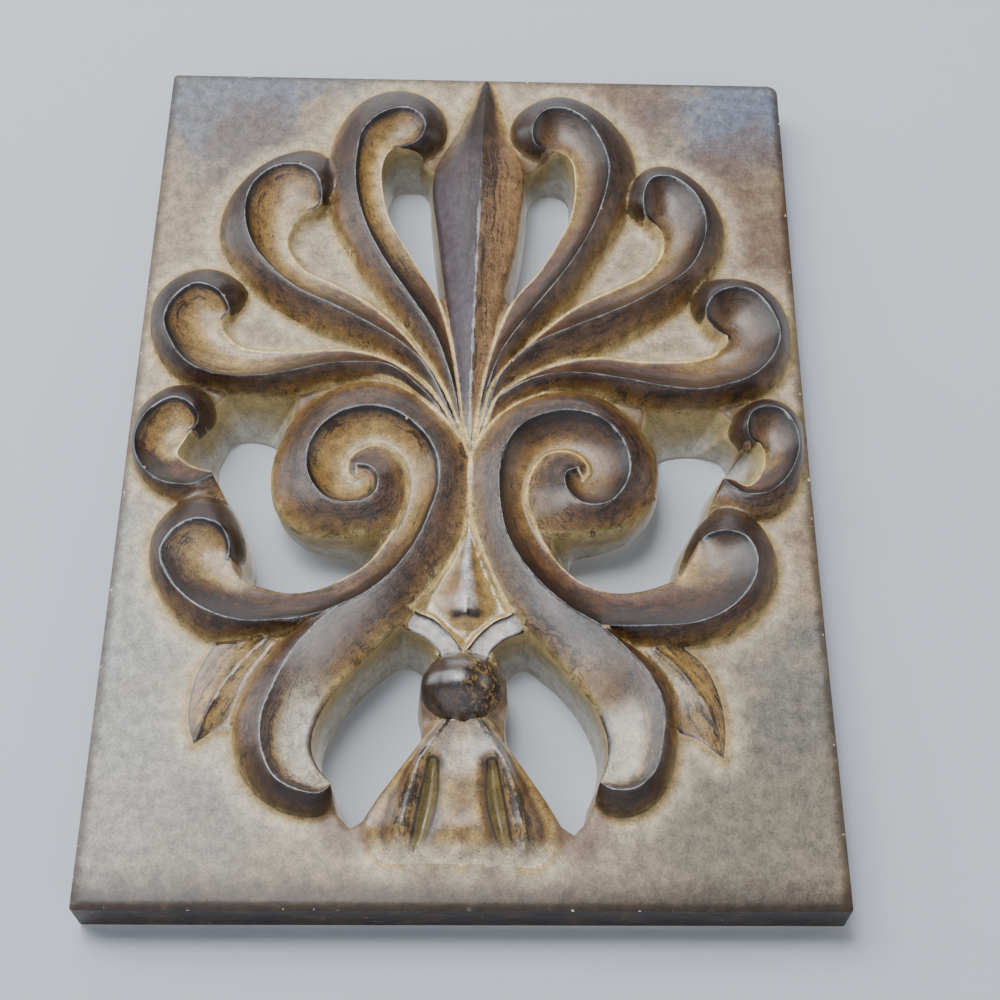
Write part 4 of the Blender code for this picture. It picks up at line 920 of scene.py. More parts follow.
for name, shape in (("drop", DROP), ("ribbon", RIBBON), ("tassel", TASSEL)):
    draw(name, shape)
carve("drop edge + drop hem", "drop ridge", "drop", soft=True, ground=1.5)
carve("ribbon inner", "ribbon outer", "ribbon", dip=0.5, rims=2, ground=1.2)
for low in ("tassel edge", "tassel axis"):
    carve(low, "tassel rib", "tassel", scoop=(-9, 20))

# The drop is painted grey as a sheen where it stands high, and the tassel is worn grey on top, with a painted
# sheen there; both are gold and brown below. The ribbon is pale grey between dark lines, the slots are olive,
# and the ball is nearly black with rubbed gold specks.
RUBBED_GREY_AND_SHEEN = colour(196, 190, 184)
OLIVE = colour(140, 124, 84)

on = new_stain("drop", "drop with painted sheen and shade", 0.36, 0.8)
patchy = noise(on.where, 5.0, 5.0, 0.65)
out = on.share + 1.0 + swing(patchy, 0.5)
# The grey near the drop's ridge is a painted sheen.
tone = ramp(out, (0.0, FOOT_TAN), (0.3, GOLD_TAN), (0.62, GOLD_BROWN), (0.88, RUBBED_GREY_AND_SHEEN))
tone = blend(between(on.reach + swing(patchy, 0.12), 0.7, 0.8), tone, GOLD_TAN)
# The dark line below the drop's bulge is painted shade.
line = between(abs(on.reach - 0.75), 0.05, 0.01)
tone = blend(line * between(out, 0.3, 0.6), tone, DARK_BROWN)
tone = blend(between(patchy, 0.55, 0.68, 0.0, 0.5), tone, SPEAR_GREY)
finish_with(on, beaded(on, tone), 1.2, 0.4, 1.0)

on = new_stain("ribbon", "pale ribbon", 0.45, 0.2)
out = on.share + 1.0 + swing(noise(on.where, 4.0, 5.0, 0.65), 0.15)
tone = ramp(out, (0.04, PLUM_BLACK), (0.18, RUBBED_GREY_AND_SHEEN), (0.82, RUBBED_GREY_AND_SHEEN), (0.96, PLUM_BLACK))
finish_with(on, tone, 1.2, 0.45, 0.8)

on = new_stain("tassel", "worn tassel with painted sheen", 0.38, 0.5)
patchy = noise(on.where, 5.0, 5.0, 0.65)
out = on.share + 1.0 + swing(patchy, 0.5)
tone = ramp(out, (0.0, GOLD_BROWN), (0.25, GOLD_TAN), (0.5, BROWN), (0.8, GOLD_BROWN), (1.0, GOLD_TAN))
# The grey over the top of the tassel is wear with a painted sheen.
tone = blend(between(on.reach + swing(patchy, 0.3), 0.1, 0.4, 0.45, 0.0), tone, RUBBED_GREY_AND_SHEEN)
cover = between(out, 0.55, 0.95, 0.1, 0.55) + swing(patchy, 0.9)
brushed = use(glaze, Under=tone, Glaze=PLUM_BLACK, Cover=cover, Stroke=on.stroke, Cracks=0.5)
slot = held(on.tree, "slot")
tone = blend(between(slot, 0.0, -0.3), brushed["Tone"], OLIVE)
tone = blend(between(abs(slot), 0.4, 0.15, 0.0, 0.7), tone, PLUM_BLACK)
tone = blend(between(on.reach, 0.8, 0.98), tone, WIPED_PALE)
finish_with(on, tone, 1.2, 0.4, 1.0, (brushed["Height"], 0.7))

on = new_stain("ball", "dark ball", 0.26, 1.0)
patchy = noise(on.where, 3.5, 6.0, 0.7)
tone = blend(between(patchy, 0.42, 0.6), colour(68, 56, 56), colour(100, 84, 70))
gold = between(noise(on.where, 1.4, 5.0, 0.7), 0.5, 0.58) * between(split(on.where)[0], -3.0, 6.0, 0.05, 0.95)
finish_with(on, blend(gold, tone, colour(168, 142, 96)), 1.3, 0.5, 1.0, (patchy, 0.1))

# ------------------------------------------------------------------------------------------------------------
# The slab is pierced in six places, three on each side. Each opening was cut from the front with a knife
# while the model was soft, so its walls slant, and its rim on the face follows the curves of the ornament.

# The rim of an opening follows the curves round it, from one point to another, or free points between them.
RIMS = {
    "top": [
        ("first lip", (8.8, 141.8), (20, 186)), (18, 185.7), (14.5, 185),
        ("spear edge", (11.5, 181), (7, 143.5)),
    ],
    "middle": [
        ("third foot", (39, 115.6), (55, 115.7)), ("fourth foot", (57.3, 113), (59.5, 104)),
        ("fourth lip", (61.5, 103.5), (55.5, 94.5)), ("fifth foot", (51.5, 87), (47.5, 72.5)),
        ("volute lip", (47, 68), (18, 76.5)), ("volute foot", (18, 80), (39, 110)),
    ],
    "lower": [
        ("scroll lip", (13, 57.5), (26, 23.5)), (24.7, 18.5), (22, 15.5), (19.3, 17.3),
        ("tassel edge", (16.5, 21.5), (8.5, 34)), (8.2, 38.5), (8.9, 43), (8.6, 48), (6.7, 50.8),
        ("ribbon outer", (5.6, 53), (11.4, 57.6)),
    ],
}
# The same openings where they leave the flat back.
BACKS = {
    "top": (
        [(8.6, 143), (12.3, 149.3), (16.5, 157), (20.3, 165), (22.5, 173.5), (22.8, 179), (21, 182.3),
         (18, 183.2), (15, 182.8), (13, 179.5), (12.3, 173), (11, 163), (9.5, 152.5), (8.4, 146.5)],
        [(9, 144), (13.2, 150), (17.3, 158), (20.3, 166), (21.3, 175), (20.8, 180.5), (18.7, 182.8),
         (15.5, 183), (12.8, 181.3), (11.2, 178), (10.8, 170), (9.8, 158), (8.3, 149.5)],
    ),
    "middle": (
        [(43.5, 107.5), (46.5, 109.3), (51, 109.7), (54, 108.5), (55.5, 105), (56.3, 102.5), (56.3, 99),
         (55.5, 95.5), (53, 92.5), (50, 88.5), (47.5, 82), (46, 75.5), (46.5, 72), (44.5, 69.3), (41.5, 67.3),
         (37, 66.3), (31.5, 67.3), (27, 70.2), (24.5, 73.5), (23.5, 76.5), (24, 78.5), (25, 79.5),
         (30.5, 80.7), (36.5, 83.2), (41, 88), (43.3, 95), (43.5, 102)],
        [(42.7, 107), (46.5, 108.5), (52, 108.5), (56, 107.3), (57.7, 104), (56.5, 101.5), (54, 99),
         (52, 95.5), (50.5, 91), (47.5, 85.5), (45, 80.5), (43.8, 76), (43.2, 72.3), (40.5, 70.5),
         (35.5, 68.8), (30.5, 68.7), (26.5, 70.3), (23.5, 74), (22, 78), (23, 80.8), (29, 83), (34.5, 85.5),
         (39.5, 90.5), (42, 96.5), (41.8, 103)],
    ),
    "lower": (
        [(13, 54.5), (17, 51.8), (21.5, 47.3), (26, 41), (28.7, 35.5), (29, 30.5), (27.6, 27), (25, 23.6),
         (23.7, 19), (22, 17), (20, 18.5), (16, 25.5), (12.5, 31), (9.5, 35.5), (9, 39), (9.8, 43),
         (9.6, 47.5), (8.5, 51), (10, 53.7)],
        [(12.5, 54.5), (17, 51.5), (22, 46), (25.7, 39.5), (27.2, 33.5), (26.7, 28.5), (25, 24), (23.7, 19),
         (22, 17), (20, 18.5), (15.5, 26), (12.5, 31), (9.3, 36), (8.3, 40.5), (8.5, 45), (8.3, 50.5),
         (10, 53.5)],
    ),
}
# Further than anything on the plaque.
FAR = 1e9
# The rims on the face and at the back are matched every few millimetres, by steps between these bounds: the
# first in millimetres, the second as a share of the whole rim.
MATCH_EVERY = 4.5
LEAST_STEP = 0.5
LONGEST_STEP = 0.25


def rim_of(name, side):
    """The rim of an opening on the face."""
    rim = []
    for piece in RIMS[name]:
        if not isinstance(piece[0], str):
            rim.append(place([piece], side))
            continue
        line = curves[side][piece[0]][:, :2]
        start, end = (np.hypot(*(line - place([point], side)[0]).T).argmin() for point in piece[1:])
        rim.append(line[start : end + 1] if end >= start else line[end : start + 1][::-1])
    return divided(np.vstack(rim), FINE)


def tree_of(places):
    """The places as a tree in which the nearest one is quickly found."""
    tree = KDTree(len(places))
    for index, (x, y) in enumerate(places):
        tree.insert((x, y, 0), index)
    tree.balance()
    return tree


def nearest(points, line):
    """For each point, how far the line is, how high it is there, and how far along it that is."""
    tree = tree_of(line[:, :2].tolist())
    close = np.array([tree.find((x, y, 0))[1] for x, y in points.tolist()])
    far, height, along = np.full(len(points), FAR), np.zeros(len(points)), np.zeros(len(points))
    total = measure(line)
    for a in (np.maximum(close - 1, 0), np.minimum(close, len(line) - 2)):
        span = line[a + 1, :2] - line[a, :2]
        size = np.maximum((span**2).sum(1), 1e-12)
        t = np.clip(((points - line[a, :2]) * span).sum(1) / size, 0, 1)
        gap = np.hypot(*(points - line[a, :2] - t[:, None] * span).T)
        better = gap < far
        far[better] = gap[better]
        height[better] = (line[a, 2] + t * (line[a + 1, 2] - line[a, 2]))[better]
        along[better] = (total[a] + t * np.sqrt(size))[better]
    return far, height, along


def matched(face, back):
    """The rim on the face, the rim at the back, and pairs of places along them that belong together."""
    line, behind = closed_line(face), closed_line(back)
    total, total_back = measure(line)[-1], measure(behind)[-1]
    stations = np.arange(0, len(behind) - 1, max(1, round(MATCH_EVERY / FINE)))
    along, along_back = nearest(behind[stations, :2], line)[2], measure(behind)[stations]
    first = along[0]
    along = (along - first) % total
    pairs = [(0.0, 0.0)]
    for ahead, ahead_back in zip(along[1:], along_back[1:]):
        step = ahead - pairs[-1][0]
        if LEAST_STEP < step < LONGEST_STEP * total and ahead < total - LEAST_STEP:
            pairs.append((ahead, ahead_back))
    pairs.append((total, total_back))
    return line, behind, first, total, np.array(pairs)


rims, openings = [], []
for side in (-1, 1):
    for name, backs in BACKS.items():
        rims.append(rim_of(name, side))
        openings.append(matched(rims[-1], place(smooth(backs[side > 0], closed=True), side)))

# The stain ran down the walls and was never wiped there: brown by the rim, then olive, then plain grey.
WALL_OLIVE = colour(176, 162, 130)
WALL_GREY = colour(198, 194, 186)

on = new_stain("wall", "stained wall", 0.5, 0.1)
patchy = noise(on.where, 9.0, 4.0, 0.6)
deep = on.across + swing(patchy, 9.0)
tone = ramp(deep / 12.0, (0.0, FOOT_TAN), (0.25, WALL_OLIVE), (0.7, WALL_GREY))
finish_with(on, tone, 0.7, 0.15, 0.8, (patchy, 0.4))

# ------------------------------------------------------------------------------------------------------------
# The casting: slab and ornament in one piece of plaster with a flat back. Its face is worked out here from
# the curves above, finely where it is carved, and its rims and valleys are softened as they leave the mould.

LIP_SOFT = 0.8
LIP_DROP = 0.35
ARRIS = 0.45
ARRIS_REACH = 2.5 * ARRIS
WALL_STEPS = 5
SMOOTHING = 20

# A back is mostly round, and a hollow falls steeply from its crest.
ROUND = 0.75
HOLLOW = 2.2
# How far past the curves of a surface its edge may still roll off.
MARGIN = 1.5
# A finish runs on this far under the one that follows it.
OVERLAP = 3
# Stands for places that a surface doesn't cover.
NOWHERE = -99.0
# Carving lower than this is plain ground, and this far is clear of any slot.
BARE = 0.03
NO_SLOT = 9.0
# A sliver between the surfaces is painted like the foot of a back: along, well across, and all of the share.
STEM_STROKE = (0, 9, -1)

# Where the modeller's tool left a fine bead: the curve, how far it rises, and from where to where it runs.
BEAD = 0.75
BEAD_FADE = 0.04
BEAD_SHAPE = 0.7
BEADS = [
    ("first lip", 0.1, -1, 0.96), ("second lip", 0.15, -1, 0.96), ("third lip", 0.15, -1, 0.96),
    ("fourth lip", 0.15, -1, 2), ("volute lip", 0.3, 0.3, 2), ("volute foot", 0.3, 0.12, 0.42),
    ("drop edge", 0.35, -1, 2), ("drop hem", 0.3, -1, 2),
]
# Slivers of the slab between the surfaces, where the casting is at least this high.
FLOORS = [
    (1.6, [(-1.5, 112), (3.5, 106), (2, 80), (9, 65), (13.5, 57.5), (6, 50), (-1.5, 47)]),
    (1.2, [(-1, 40.5), (4.8, 40.5), (6.5, 37), (-1, 36)]),
]
SLOT = {"narrow": 0.6, "wider": 1.1, "before": 3, "length": 24, "depth": 2.2}
BALL = {"middle": (-0.5, 45.3), "half": (8.5, 7.7), "top": 8.5, "rim": 1.0, "reach": 1.01, "corners": 96}
# The ball's finish comes before every other one.
FOREMOST = 50
FINISHES = [
    "ground", "back", "hollow", "channel", "spear", "leaf", "drop", "ribbon", "tassel", "ball", "wall",
    "side", "rear",
]


def inside(points, loop, at_a_time=4000):
    """Which points lie inside the closed loop."""
    found = np.zeros(len(points), bool)
    a, b = loop[:, :2], np.roll(loop[:, :2], -1, axis=0)
    rise = np.where(b[:, 1] == a[:, 1], 1e-12, b[:, 1] - a[:, 1])
    for start in range(0, len(points), at_a_time):
        x, y = points[start : start + at_a_time, :1], points[start : start + at_a_time, 1:2]
        crosses = (a[:, 1] > y) != (b[:, 1] > y)
        right = x < a[:, 0] + (y - a[:, 1]) / rise * (b[:, 0] - a[:, 0])
        found[start : start + at_a_time] = (crosses & right).sum(1) % 2 == 1
    return found


def rolled_off(distance, height, lift):
    """The height beyond a raised edge, where it rolls off by its lift within the rim."""
    drop = (np.maximum(distance - RIM_FLAT, 0) / RIM) ** 2
    return np.where(drop < 1, height - lift * drop, NOWHERE)


def stretch(points, surface):
    """Where a surface stretched from its low curve to its high curve lies: the points it covers, which of
    them are between its curves, its height there, how far along and across it each one is, the share of the
    way from its low curve (1) to its high one (0), and the share of the way along it.
    """
    low, high = surface["low"], surface["high"]
    loop = np.vstack([low, high[::-1]])
    near = ((points > loop[:, :2].min(0) - MARGIN) & (points < loop[:, :2].max(0) + MARGIN)).all(1)
    near = np.flatnonzero(near)
    points = points[near]
    to_low, low_height, _ = nearest(points, low)
    to_high, high_height, along = nearest(points, high)
    share = to_low / np.maximum(to_low + to_high, 1e-9)
    begin, length = surface.get("scoop", (FAR, 1))
    past = along - surface["joint"]
    scoop = ease((past - begin) / length)
    rounded = ROUND * np.sqrt(1 - (1 - share) ** 2) + (1 - ROUND) * share
    rise = ease(share) if surface.get("soft") else rounded + (share**HOLLOW - rounded) * scoop
    level = low_height + (high_height - low_height) * rise
    reach = along / measure(high)[-1]
    deep = BOWL * ease((reach - surface.get("bowl", 2)) / BOWL_EASE)
    level -= (surface.get("dip", 0) + deep) * 4 * share * (1 - share)
    within = inside(points, loop) | (np.minimum(to_low, to_high) < TOUCH)
    ground = surface.get("ground", 0)
    beyond = rolled_off(to_low, low_height, np.maximum(low_height - ground, 0))
    if surface.get("rims"):
        beyond = np.maximum(beyond, rolled_off(to_high, high_height, high_height - ground))
    height = np.where(within, level, beyond)
    kept = height > NOWHERE / 2
    if "open" in surface:
        reach = np.maximum(reach, OPEN_REACH * (1 - along / surface["open"]))
    found = near, within, height, past, to_high, 1 - share, reach
    return [values[kept] for values in found]


def floors(points):
    """The least height of the carving where its surfaces leave slivers of the slab between them."""
    height = np.zeros(len(points))
    for side in (-1, 1):
        for level, outline in FLOORS:
            height[inside(points, place(outline, side))] = level
    return height


def slot_of(points, half):
    """How far each point is from the middle of the tassel's slot, and how far the slot reaches there."""
    far, _, along = nearest(points, half["tassel slot"])
    swell = np.sin(math.pi * np.clip((along + SLOT["before"]) / SLOT["length"], 0, 1))
    return far, SLOT["narrow"] + SLOT["wider"] * swell


def carved(points):
    """The height of the carving at each point, and for each surface what it covers."""
    height = floors(points)
    found = []
    for surface in surfaces:
        covers = stretch(points, surface)
        height[covers[0]] = np.maximum(height[covers[0]], covers[2])
        # Past the joint of its curves a surface may go on in a second finish.
        runs_on = covers[3] > (0 if "second" in surface else FAR)
        first = ~runs_on | (covers[3] < OVERLAP)
        for finish, on in ((surface["finish"], first), (surface.get("second"), runs_on)):
            if not on.any():
                continue
            near, within, level, past, across, share, reach = (values[on] for values in covers)
            outward = finish in ("hollow", "channel") or surface["side"] > 0 and finish == "spear"
            sign = 1 if outward else -1
            found.append((finish, near, within, level, past, sign * across, sign * share, reach))
    for half in curves.values():
        far, wide = slot_of(points, half)
        height -= np.where(far < wide, SLOT["depth"] * (1 - np.minimum(far / wide, 1) ** 2), 0)
    off = (((points - BALL["middle"]) / BALL["half"]) ** 2).sum(1)
    dome = BALL["rim"] + (BALL["top"] - BALL["rim"]) * np.sqrt(np.maximum(1 - off, 0))
    on = np.flatnonzero(off < BALL["reach"])
    found.append(("ball", on, np.full(len(on), True), dome[on] + FOREMOST, *np.zeros((3, len(on))), off[on]))
    height[on] = dome[on]
    return height, found


# Points closer together than this become one.
MERGE = 0.03
# The face is filled with rows of points, those of one row between those of the next. They keep clear of the
# edge and of every curve by these shares of their spacing.
ROW_STEP = 0.87
EDGE_CLEAR = 0.6
LINE_CLEAR = 0.45
# Where the carving is at least this high on a coarse grid, the rows are fine.
RAISED = 0.02
GRID = 2


def rows(low, high, spacing):
    """Points in even rows over a rectangle, each row set off by half a step."""
    found = []
    for index, y in enumerate(np.arange(low[1] + spacing, high[1], spacing * ROW_STEP)):
        across = np.arange(low[0] + spacing * (0.5 + 0.5 * (index % 2)), high[0], spacing)
        found.append(np.column_stack([across, np.full(len(across), y)]))
    return np.vstack(found)


def pierced(points, faces, outline, holes, front):
    """The triangles inside the outline and outside its holes, turned to the front (1) or to the back (-1)."""
    faces = np.array(faces)
    a, b, c = np.moveaxis(points[faces], -2, 0)
    area = (b - a)[..., 0] * (c - a)[..., 1] - (b - a)[..., 1] * (c - a)[..., 0]
    wrong = area * front < 0
    faces[wrong] = faces[wrong][:, ::-1]
    middle = points[faces].mean(1)
    keep = inside(middle, outline)
    for hole in holes:
        keep &= ~inside(middle, hole)
    return faces[keep]


def plan():
    """The face in plan: its points, and the triangles between them. Edges follow every curve."""
    found, joins, known = [], [], {}

    def add(line, closed):
        numbers = []
        for x, y in line[:, :2]:
            key = (round(x / MERGE), round(y / MERGE))
            if key not in known:
                known[key] = len(found)
                found.append(Vector((float(x), float(y))))
            numbers.append(known[key])
        ends = numbers[1:] + numbers[:1] if closed else numbers[1:]
        joins.extend((a, b) for a, b in zip(numbers, ends) if a != b)

    for loop in (edge, *rims):
        add(loop, True)
    for half in curves.values():
        for name, line in half.items():
            if name != "tassel slot":
                add(line, False)
    turns = np.linspace(0, 2 * math.pi, BALL["corners"], endpoint=False)
    round_it = np.column_stack([np.cos(turns), np.sin(turns)])
    add(np.array(BALL["middle"]) + np.array(BALL["half"]) * round_it, True)
    lines = tree_of(found)
    low, high = edge.min(0), edge.max(0)
    cells = (np.ceil((high - low) / GRID)).astype(int) + 1
    spots = low + np.stack(np.meshgrid(*map(np.arange, cells), indexing="ij"), -1).reshape(-1, 2) * GRID
    rich = (carved(spots)[0] > RAISED).reshape(cells)
    for axis in (0, 1):
        rich = rich | np.roll(rich, 1, axis) | np.roll(rich, -1, axis)
    for spacing, wanted in ((FINE, True), (COARSE, False)):
        points = rows(low, high, spacing)
        cell = np.round((points - low) / GRID).astype(int)
        points = points[rich[cell[:, 0], cell[:, 1]] == wanted]
        points = points[inside(points, edge)]
        points = points[nearest(points, closed_line(edge))[0] > spacing * EDGE_CLEAR]
        found += [Vector(spot) for spot in points.tolist() if lines.find((*spot, 0))[2] > FINE * LINE_CLEAR]
    points, _, faces, _, _, _ = delaunay_2d_cdt(found, joins, [], 0, MERGE)
    points = np.array([tuple(point) for point in points])
    faces = pierced(points, faces, edge, rims, 1)
    used, numbers = np.unique(faces, return_inverse=True)
    return points[used], numbers.reshape(faces.shape)


def eased(values, faces, steps):
    """Values at the points, each drawn towards the mean of its neighbours by the share of each step."""
    a, b = np.vstack([faces[:, [0, 1]], faces[:, [1, 2]], faces[:, [2, 0]]]).T
    count = np.maximum(np.bincount(a, minlength=len(values)) + np.bincount(b, minlength=len(values)), 1)
    for rising, falling in steps:
        total = np.bincount(a, values[b], len(values)) + np.bincount(b, values[a], len(values))
        gap = total / count - values
        values = values + gap * np.where(gap > 0, rising, falling)
    return values


def loops_of(faces):
    """The rims of the mesh, each as a list of corners in order."""
    sides = {(a, b) for face in faces for a, b in zip(face, (face[1], face[2], face[0]))}
    after = {a: b for a, b in sides if (b, a) not in sides}
    found = []
    while after:
        first, corner = after.popitem()
        loop = [first]
        while corner != first:
            loop.append(corner)
            corner = after.pop(corner)
        found.append(loop)
    return found


def drafted(rim, same=0.1):
    """Where the wall that starts at each point of a rim meets the back."""
    for line, behind, first, total, pairs in openings:
        far, _, along = nearest(rim, line)
        if far.max() < same:
            ahead = np.interp((along - first) % total, pairs[:, 0], pairs[:, 1])
            return np.column_stack([np.interp(ahead, measure(behind), behind[:, axis]) for axis in (0, 1)])
    return None


# The outer sides of the slab are dark brown, and the back is bare plaster, trowelled flat.
on = new_stain("side", "dark side", 0.5, 0.2)
patchy = noise(on.where, 7.0, 5.0, 0.65)
tone = ramp(patchy, (0.35, colour(52, 42, 38)), (0.55, colour(84, 66, 50)), (0.7, colour(120, 100, 78)))
chips = between(noise(on.where, 1.6, 3.0, 0.6), 0.7, 0.73) * between(on.across, 9.0, 8.0)
finish_with(on, tone, 1.2, 0.3, 1.0, (patchy, 0.5), (chips, -0.2), chips=chips)

on = new_stain("rear", "bare back", 0.8, 0.0)
patchy = noise(on.where, 30.0, 6.0, 0.6)
trowel = put("ShaderNodeVectorMath", {0: on.where, 1: (1.0, 1.0, 14.0)}, operation="DIVIDE")[0]
tone = ramp(patchy, (0.35, colour(214, 206, 190)), (0.6, colour(190, 176, 150)), (0.75, colour(150, 126, 96)))
finish_with(on, tone, 0.6, 0.5, 1.0, (noise(trowel, 1.5, 5.0, 0.6), 0.25))

flat, faces = plan()
height, covers = carved(flat)
loops = loops_of(faces.tolist())
to_edge = nearest(flat, closed_line(edge))[0]
to_lip = np.min([nearest(flat, closed_line(rim))[0] for rim in rims], axis=0)
shapes = tree_of(np.vstack([line[:, :2] for half in curves.values() for line in half.values()]).tolist())
to_shape = np.array([shapes.find((x, y, 0))[2] for x, y in flat.tolist()])

# Valleys are filled and crests worn a little, as a mould leaves them, and the bowls between them are rubbed
# smooth. The first number of each pair fills, the second one wears.
MOULDED = [(0.5, 0.15), (0.5, 0.1), (0.4, 0.0)]
# Rubbing keeps clear of the curves and grows to its full strength beyond them.
RUBBING = 0.6
RUBBED_FROM = 0.7
RUBBED_EASE = 1.5
free = np.where(to_lip < TOUCH / 2, 0.0, 1.0)
height = eased(height, faces, [(filled * free, worn * free) for filled, worn in MOULDED])
free = RUBBING * np.clip((np.minimum(to_shape, to_lip) - RUBBED_FROM) / RUBBED_EASE, 0, 1)
height = eased(height, faces, [(free, free)] * SMOOTHING)
beading = np.zeros(len(flat))
slot = np.full(len(flat), NO_SLOT)
for half in curves.values():
    far, wide = slot_of(flat, half)
    slot = np.minimum(slot, far - wide)
    for name, rise, begin, end in BEADS:
        far, _, along = nearest(flat, half[name])
        reach = along / measure(half[name])[-1]
        shown = ease((reach - begin) / BEAD_FADE) * ease((end - reach) / BEAD_FADE)
        close = np.maximum(1 - far / BEAD, 0) * shown
        height += rise * close**BEAD_SHAPE
        beading = np.maximum(beading, close)
height -= LIP_DROP * np.maximum(1 - to_lip / LIP_SOFT, 0) ** 2
height -= ARRIS * np.maximum(1 - to_edge / ARRIS_REACH, 0) ** 2

# Each triangle takes its finish, and its place along and across the stroke, from the highest surface.
best = np.full(len(faces), -FAR)
finish = np.zeros(len(faces), int)
stroke = np.zeros((len(faces), 3, 3))
reach = np.zeros((len(faces), 3))
for name, near, within, tall, *rest in covers:
    fields = np.zeros((5, len(flat)))
    fields[0] = NOWHERE
    fields[:, near] = np.where(within, tall, NOWHERE), *rest
    covered = (fields[0][faces] > NOWHERE / 2).all(1)
    if name == "hollow":
        fields[4] = eased(fields[4], faces[covered], [(RUBBING, RUBBING)] * 2 * SMOOTHING)
    total = fields[0][faces].sum(1)
    wins = (total > best) & covered
    best[wins] = total[wins]
    finish[wins] = FINISHES.index(name)
    stroke[wins] = np.moveaxis(fields[1:4][:, faces[wins]], 0, -1)
    reach[wins] = fields[4][faces[wins]]
stem = (finish == 0) & (floors(flat)[faces].min(1) > 0)
finish[stem] = FINISHES.index("back")
stroke[stem] = STEM_STROKE
bare = (finish == 0) | (height[faces].max(1) < BARE)
finish[bare] = FINISHES.index("ground")
stroke[bare] = np.stack([distance[faces[bare]] for distance in (to_shape, to_edge, to_lip)], -1)

# Walls drop from each rim to the back in a few steps, and the outer sides of the slab do the same. Their
# stroke holds how far round the rim and how far down a corner is.
points = np.column_stack([flat[:, 0], -(BODY + height), flat[:, 1]])
new_points, new_faces, new_finish, new_stroke, back_loops = [points], [], [], [], []
number = len(points)
for loop in loops:
    rim = flat[loop]
    foot = drafted(rim)
    kind = "side" if foot is None else "wall"
    foot = rim if foot is None else foot
    deep = BODY + height[loop]
    round_it = measure(closed_line(rim))
    rings = [np.array(loop)]
    for step in range(1, WALL_STEPS + 1):
        share = step / WALL_STEPS
        here = rim + (foot - rim) * share
        new_points.append(np.column_stack([here[:, 0], -deep * (1 - share), here[:, 1]]))
        rings.append(np.arange(number, number + len(loop)))
        number += len(loop)
    for step, (top, low) in enumerate(zip(rings, rings[1:])):
        next_top, next_low = np.roll(top, -1), np.roll(low, -1)
        at_top, at_low, at_next_top, at_next_low = (
            np.column_stack([around, down, np.zeros(len(loop))])
            for around, by in ((round_it[:-1], 0), (round_it[1:], -1))
            for down in (np.roll(deep * step / WALL_STEPS, by), np.roll(deep * (step + 1) / WALL_STEPS, by))
        )
        for corners, places in (
            ((top, low, next_top), (at_top, at_low, at_next_top)),
            ((next_top, low, next_low), (at_next_top, at_low, at_next_low)),
        ):
            new_faces.append(np.column_stack(corners))
            new_finish.append(np.full(len(loop), FINISHES.index(kind)))
            new_stroke.append(np.stack(places, 1))
    back_loops.append(rings[-1])
points = np.vstack(new_points)

# The back is one flat plane with the six openings in it.
corners = np.concatenate(back_loops)
plain = [Vector((float(x), float(z))) for x, _, z in points[corners]]
numbered, joins = [], []
for loop in back_loops:
    begin = sum(map(len, numbered))
    numbered.append(range(begin, begin + len(loop)))
    joins += zip(numbered[-1], [*numbered[-1][1:], begin])
cover, _, under, origin, _, _ = delaunay_2d_cdt(plain, joins, [], 0, 0.0)
cover = np.array([tuple(point) for point in cover])
number_of = {old: new for new, olds in enumerate(origin) for old in olds}
outlines = [cover[[number_of[old] for old in numbers]] for numbers in numbered]
outlines.sort(key=lambda line: -np.ptp(line[:, 0]))
under = pierced(cover, under, outlines[0], outlines[1:], -1)
new_faces.append(np.array([corners[olds[0]] for olds in origin])[under])
new_finish.append(np.full(len(under), FINISHES.index("rear")))
new_stroke.append(np.zeros((len(under), 3, 3)))

triangles = np.vstack([faces, *new_faces])
finish = np.concatenate([finish, *new_finish])
stroke = np.concatenate([stroke, *new_stroke])
reach = np.concatenate([reach, np.zeros((len(triangles) - len(faces), 3))])
points = points * MM
points[:, 2] -= MIDDLE * MM
points = np.clip(points, *np.array(cad_box))

mesh = bpy.data.meshes.new("plaster casting")
mesh.vertices.add(len(points))
mesh.vertices.foreach_set("co", points.ravel())
mesh.loops.add(3 * len(triangles))
mesh.loops.foreach_set("vertex_index", triangles.ravel())
mesh.polygons.add(len(triangles))
mesh.polygons.foreach_set("loop_start", np.arange(0, 3 * len(triangles), 3))
mesh.polygons.foreach_set("material_index", finish)
mesh.attributes.new("stroke", "FLOAT_VECTOR", "CORNER").data.foreach_set("vector", stroke.ravel())
mesh.attributes.new("reach", "FLOAT", "CORNER").data.foreach_set("value", reach.ravel())
for name, values, elsewhere in (("beading", beading, 0.0), ("slot", slot, NO_SLOT)):
    values = np.concatenate([values, np.full(len(points) - len(flat), elsewhere)])
    mesh.attributes.new(name, "FLOAT", "POINT").data.foreach_set("value", values)
mesh.update()
mesh.validate()
for name in FINISHES:
    mesh.materials.append(stains[name])
casting = bpy.data.objects.new("plaster_casting", mesh)
bpy.context.collection.objects.link(casting)
bpy.context.view_layer.objects.active = casting
casting.select_set(True)
bpy.ops.object.shade_smooth_by_angle(angle=math.radians(50))
casting.select_set(False)

# Only the rims, and the edges of the back, stay sharp.
ends = np.zeros(2 * len(mesh.edges), int)
mesh.edges.foreach_get("vertices", ends)
ends = ends.reshape(-1, 2)
crease = np.zeros(len(mesh.edges), bool)
mesh.attributes["sharp_edge"].data.foreach_get("value", crease)
crease &= (ends.max(1) < len(flat)) | np.isin(ends, corners).all(1)
mesh.attributes["sharp_edge"].data.foreach_set("value", crease)
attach(casting, "root")
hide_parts("scroll_plaque")
print("casting:", len(points), "points,", len(triangles), "triangles")

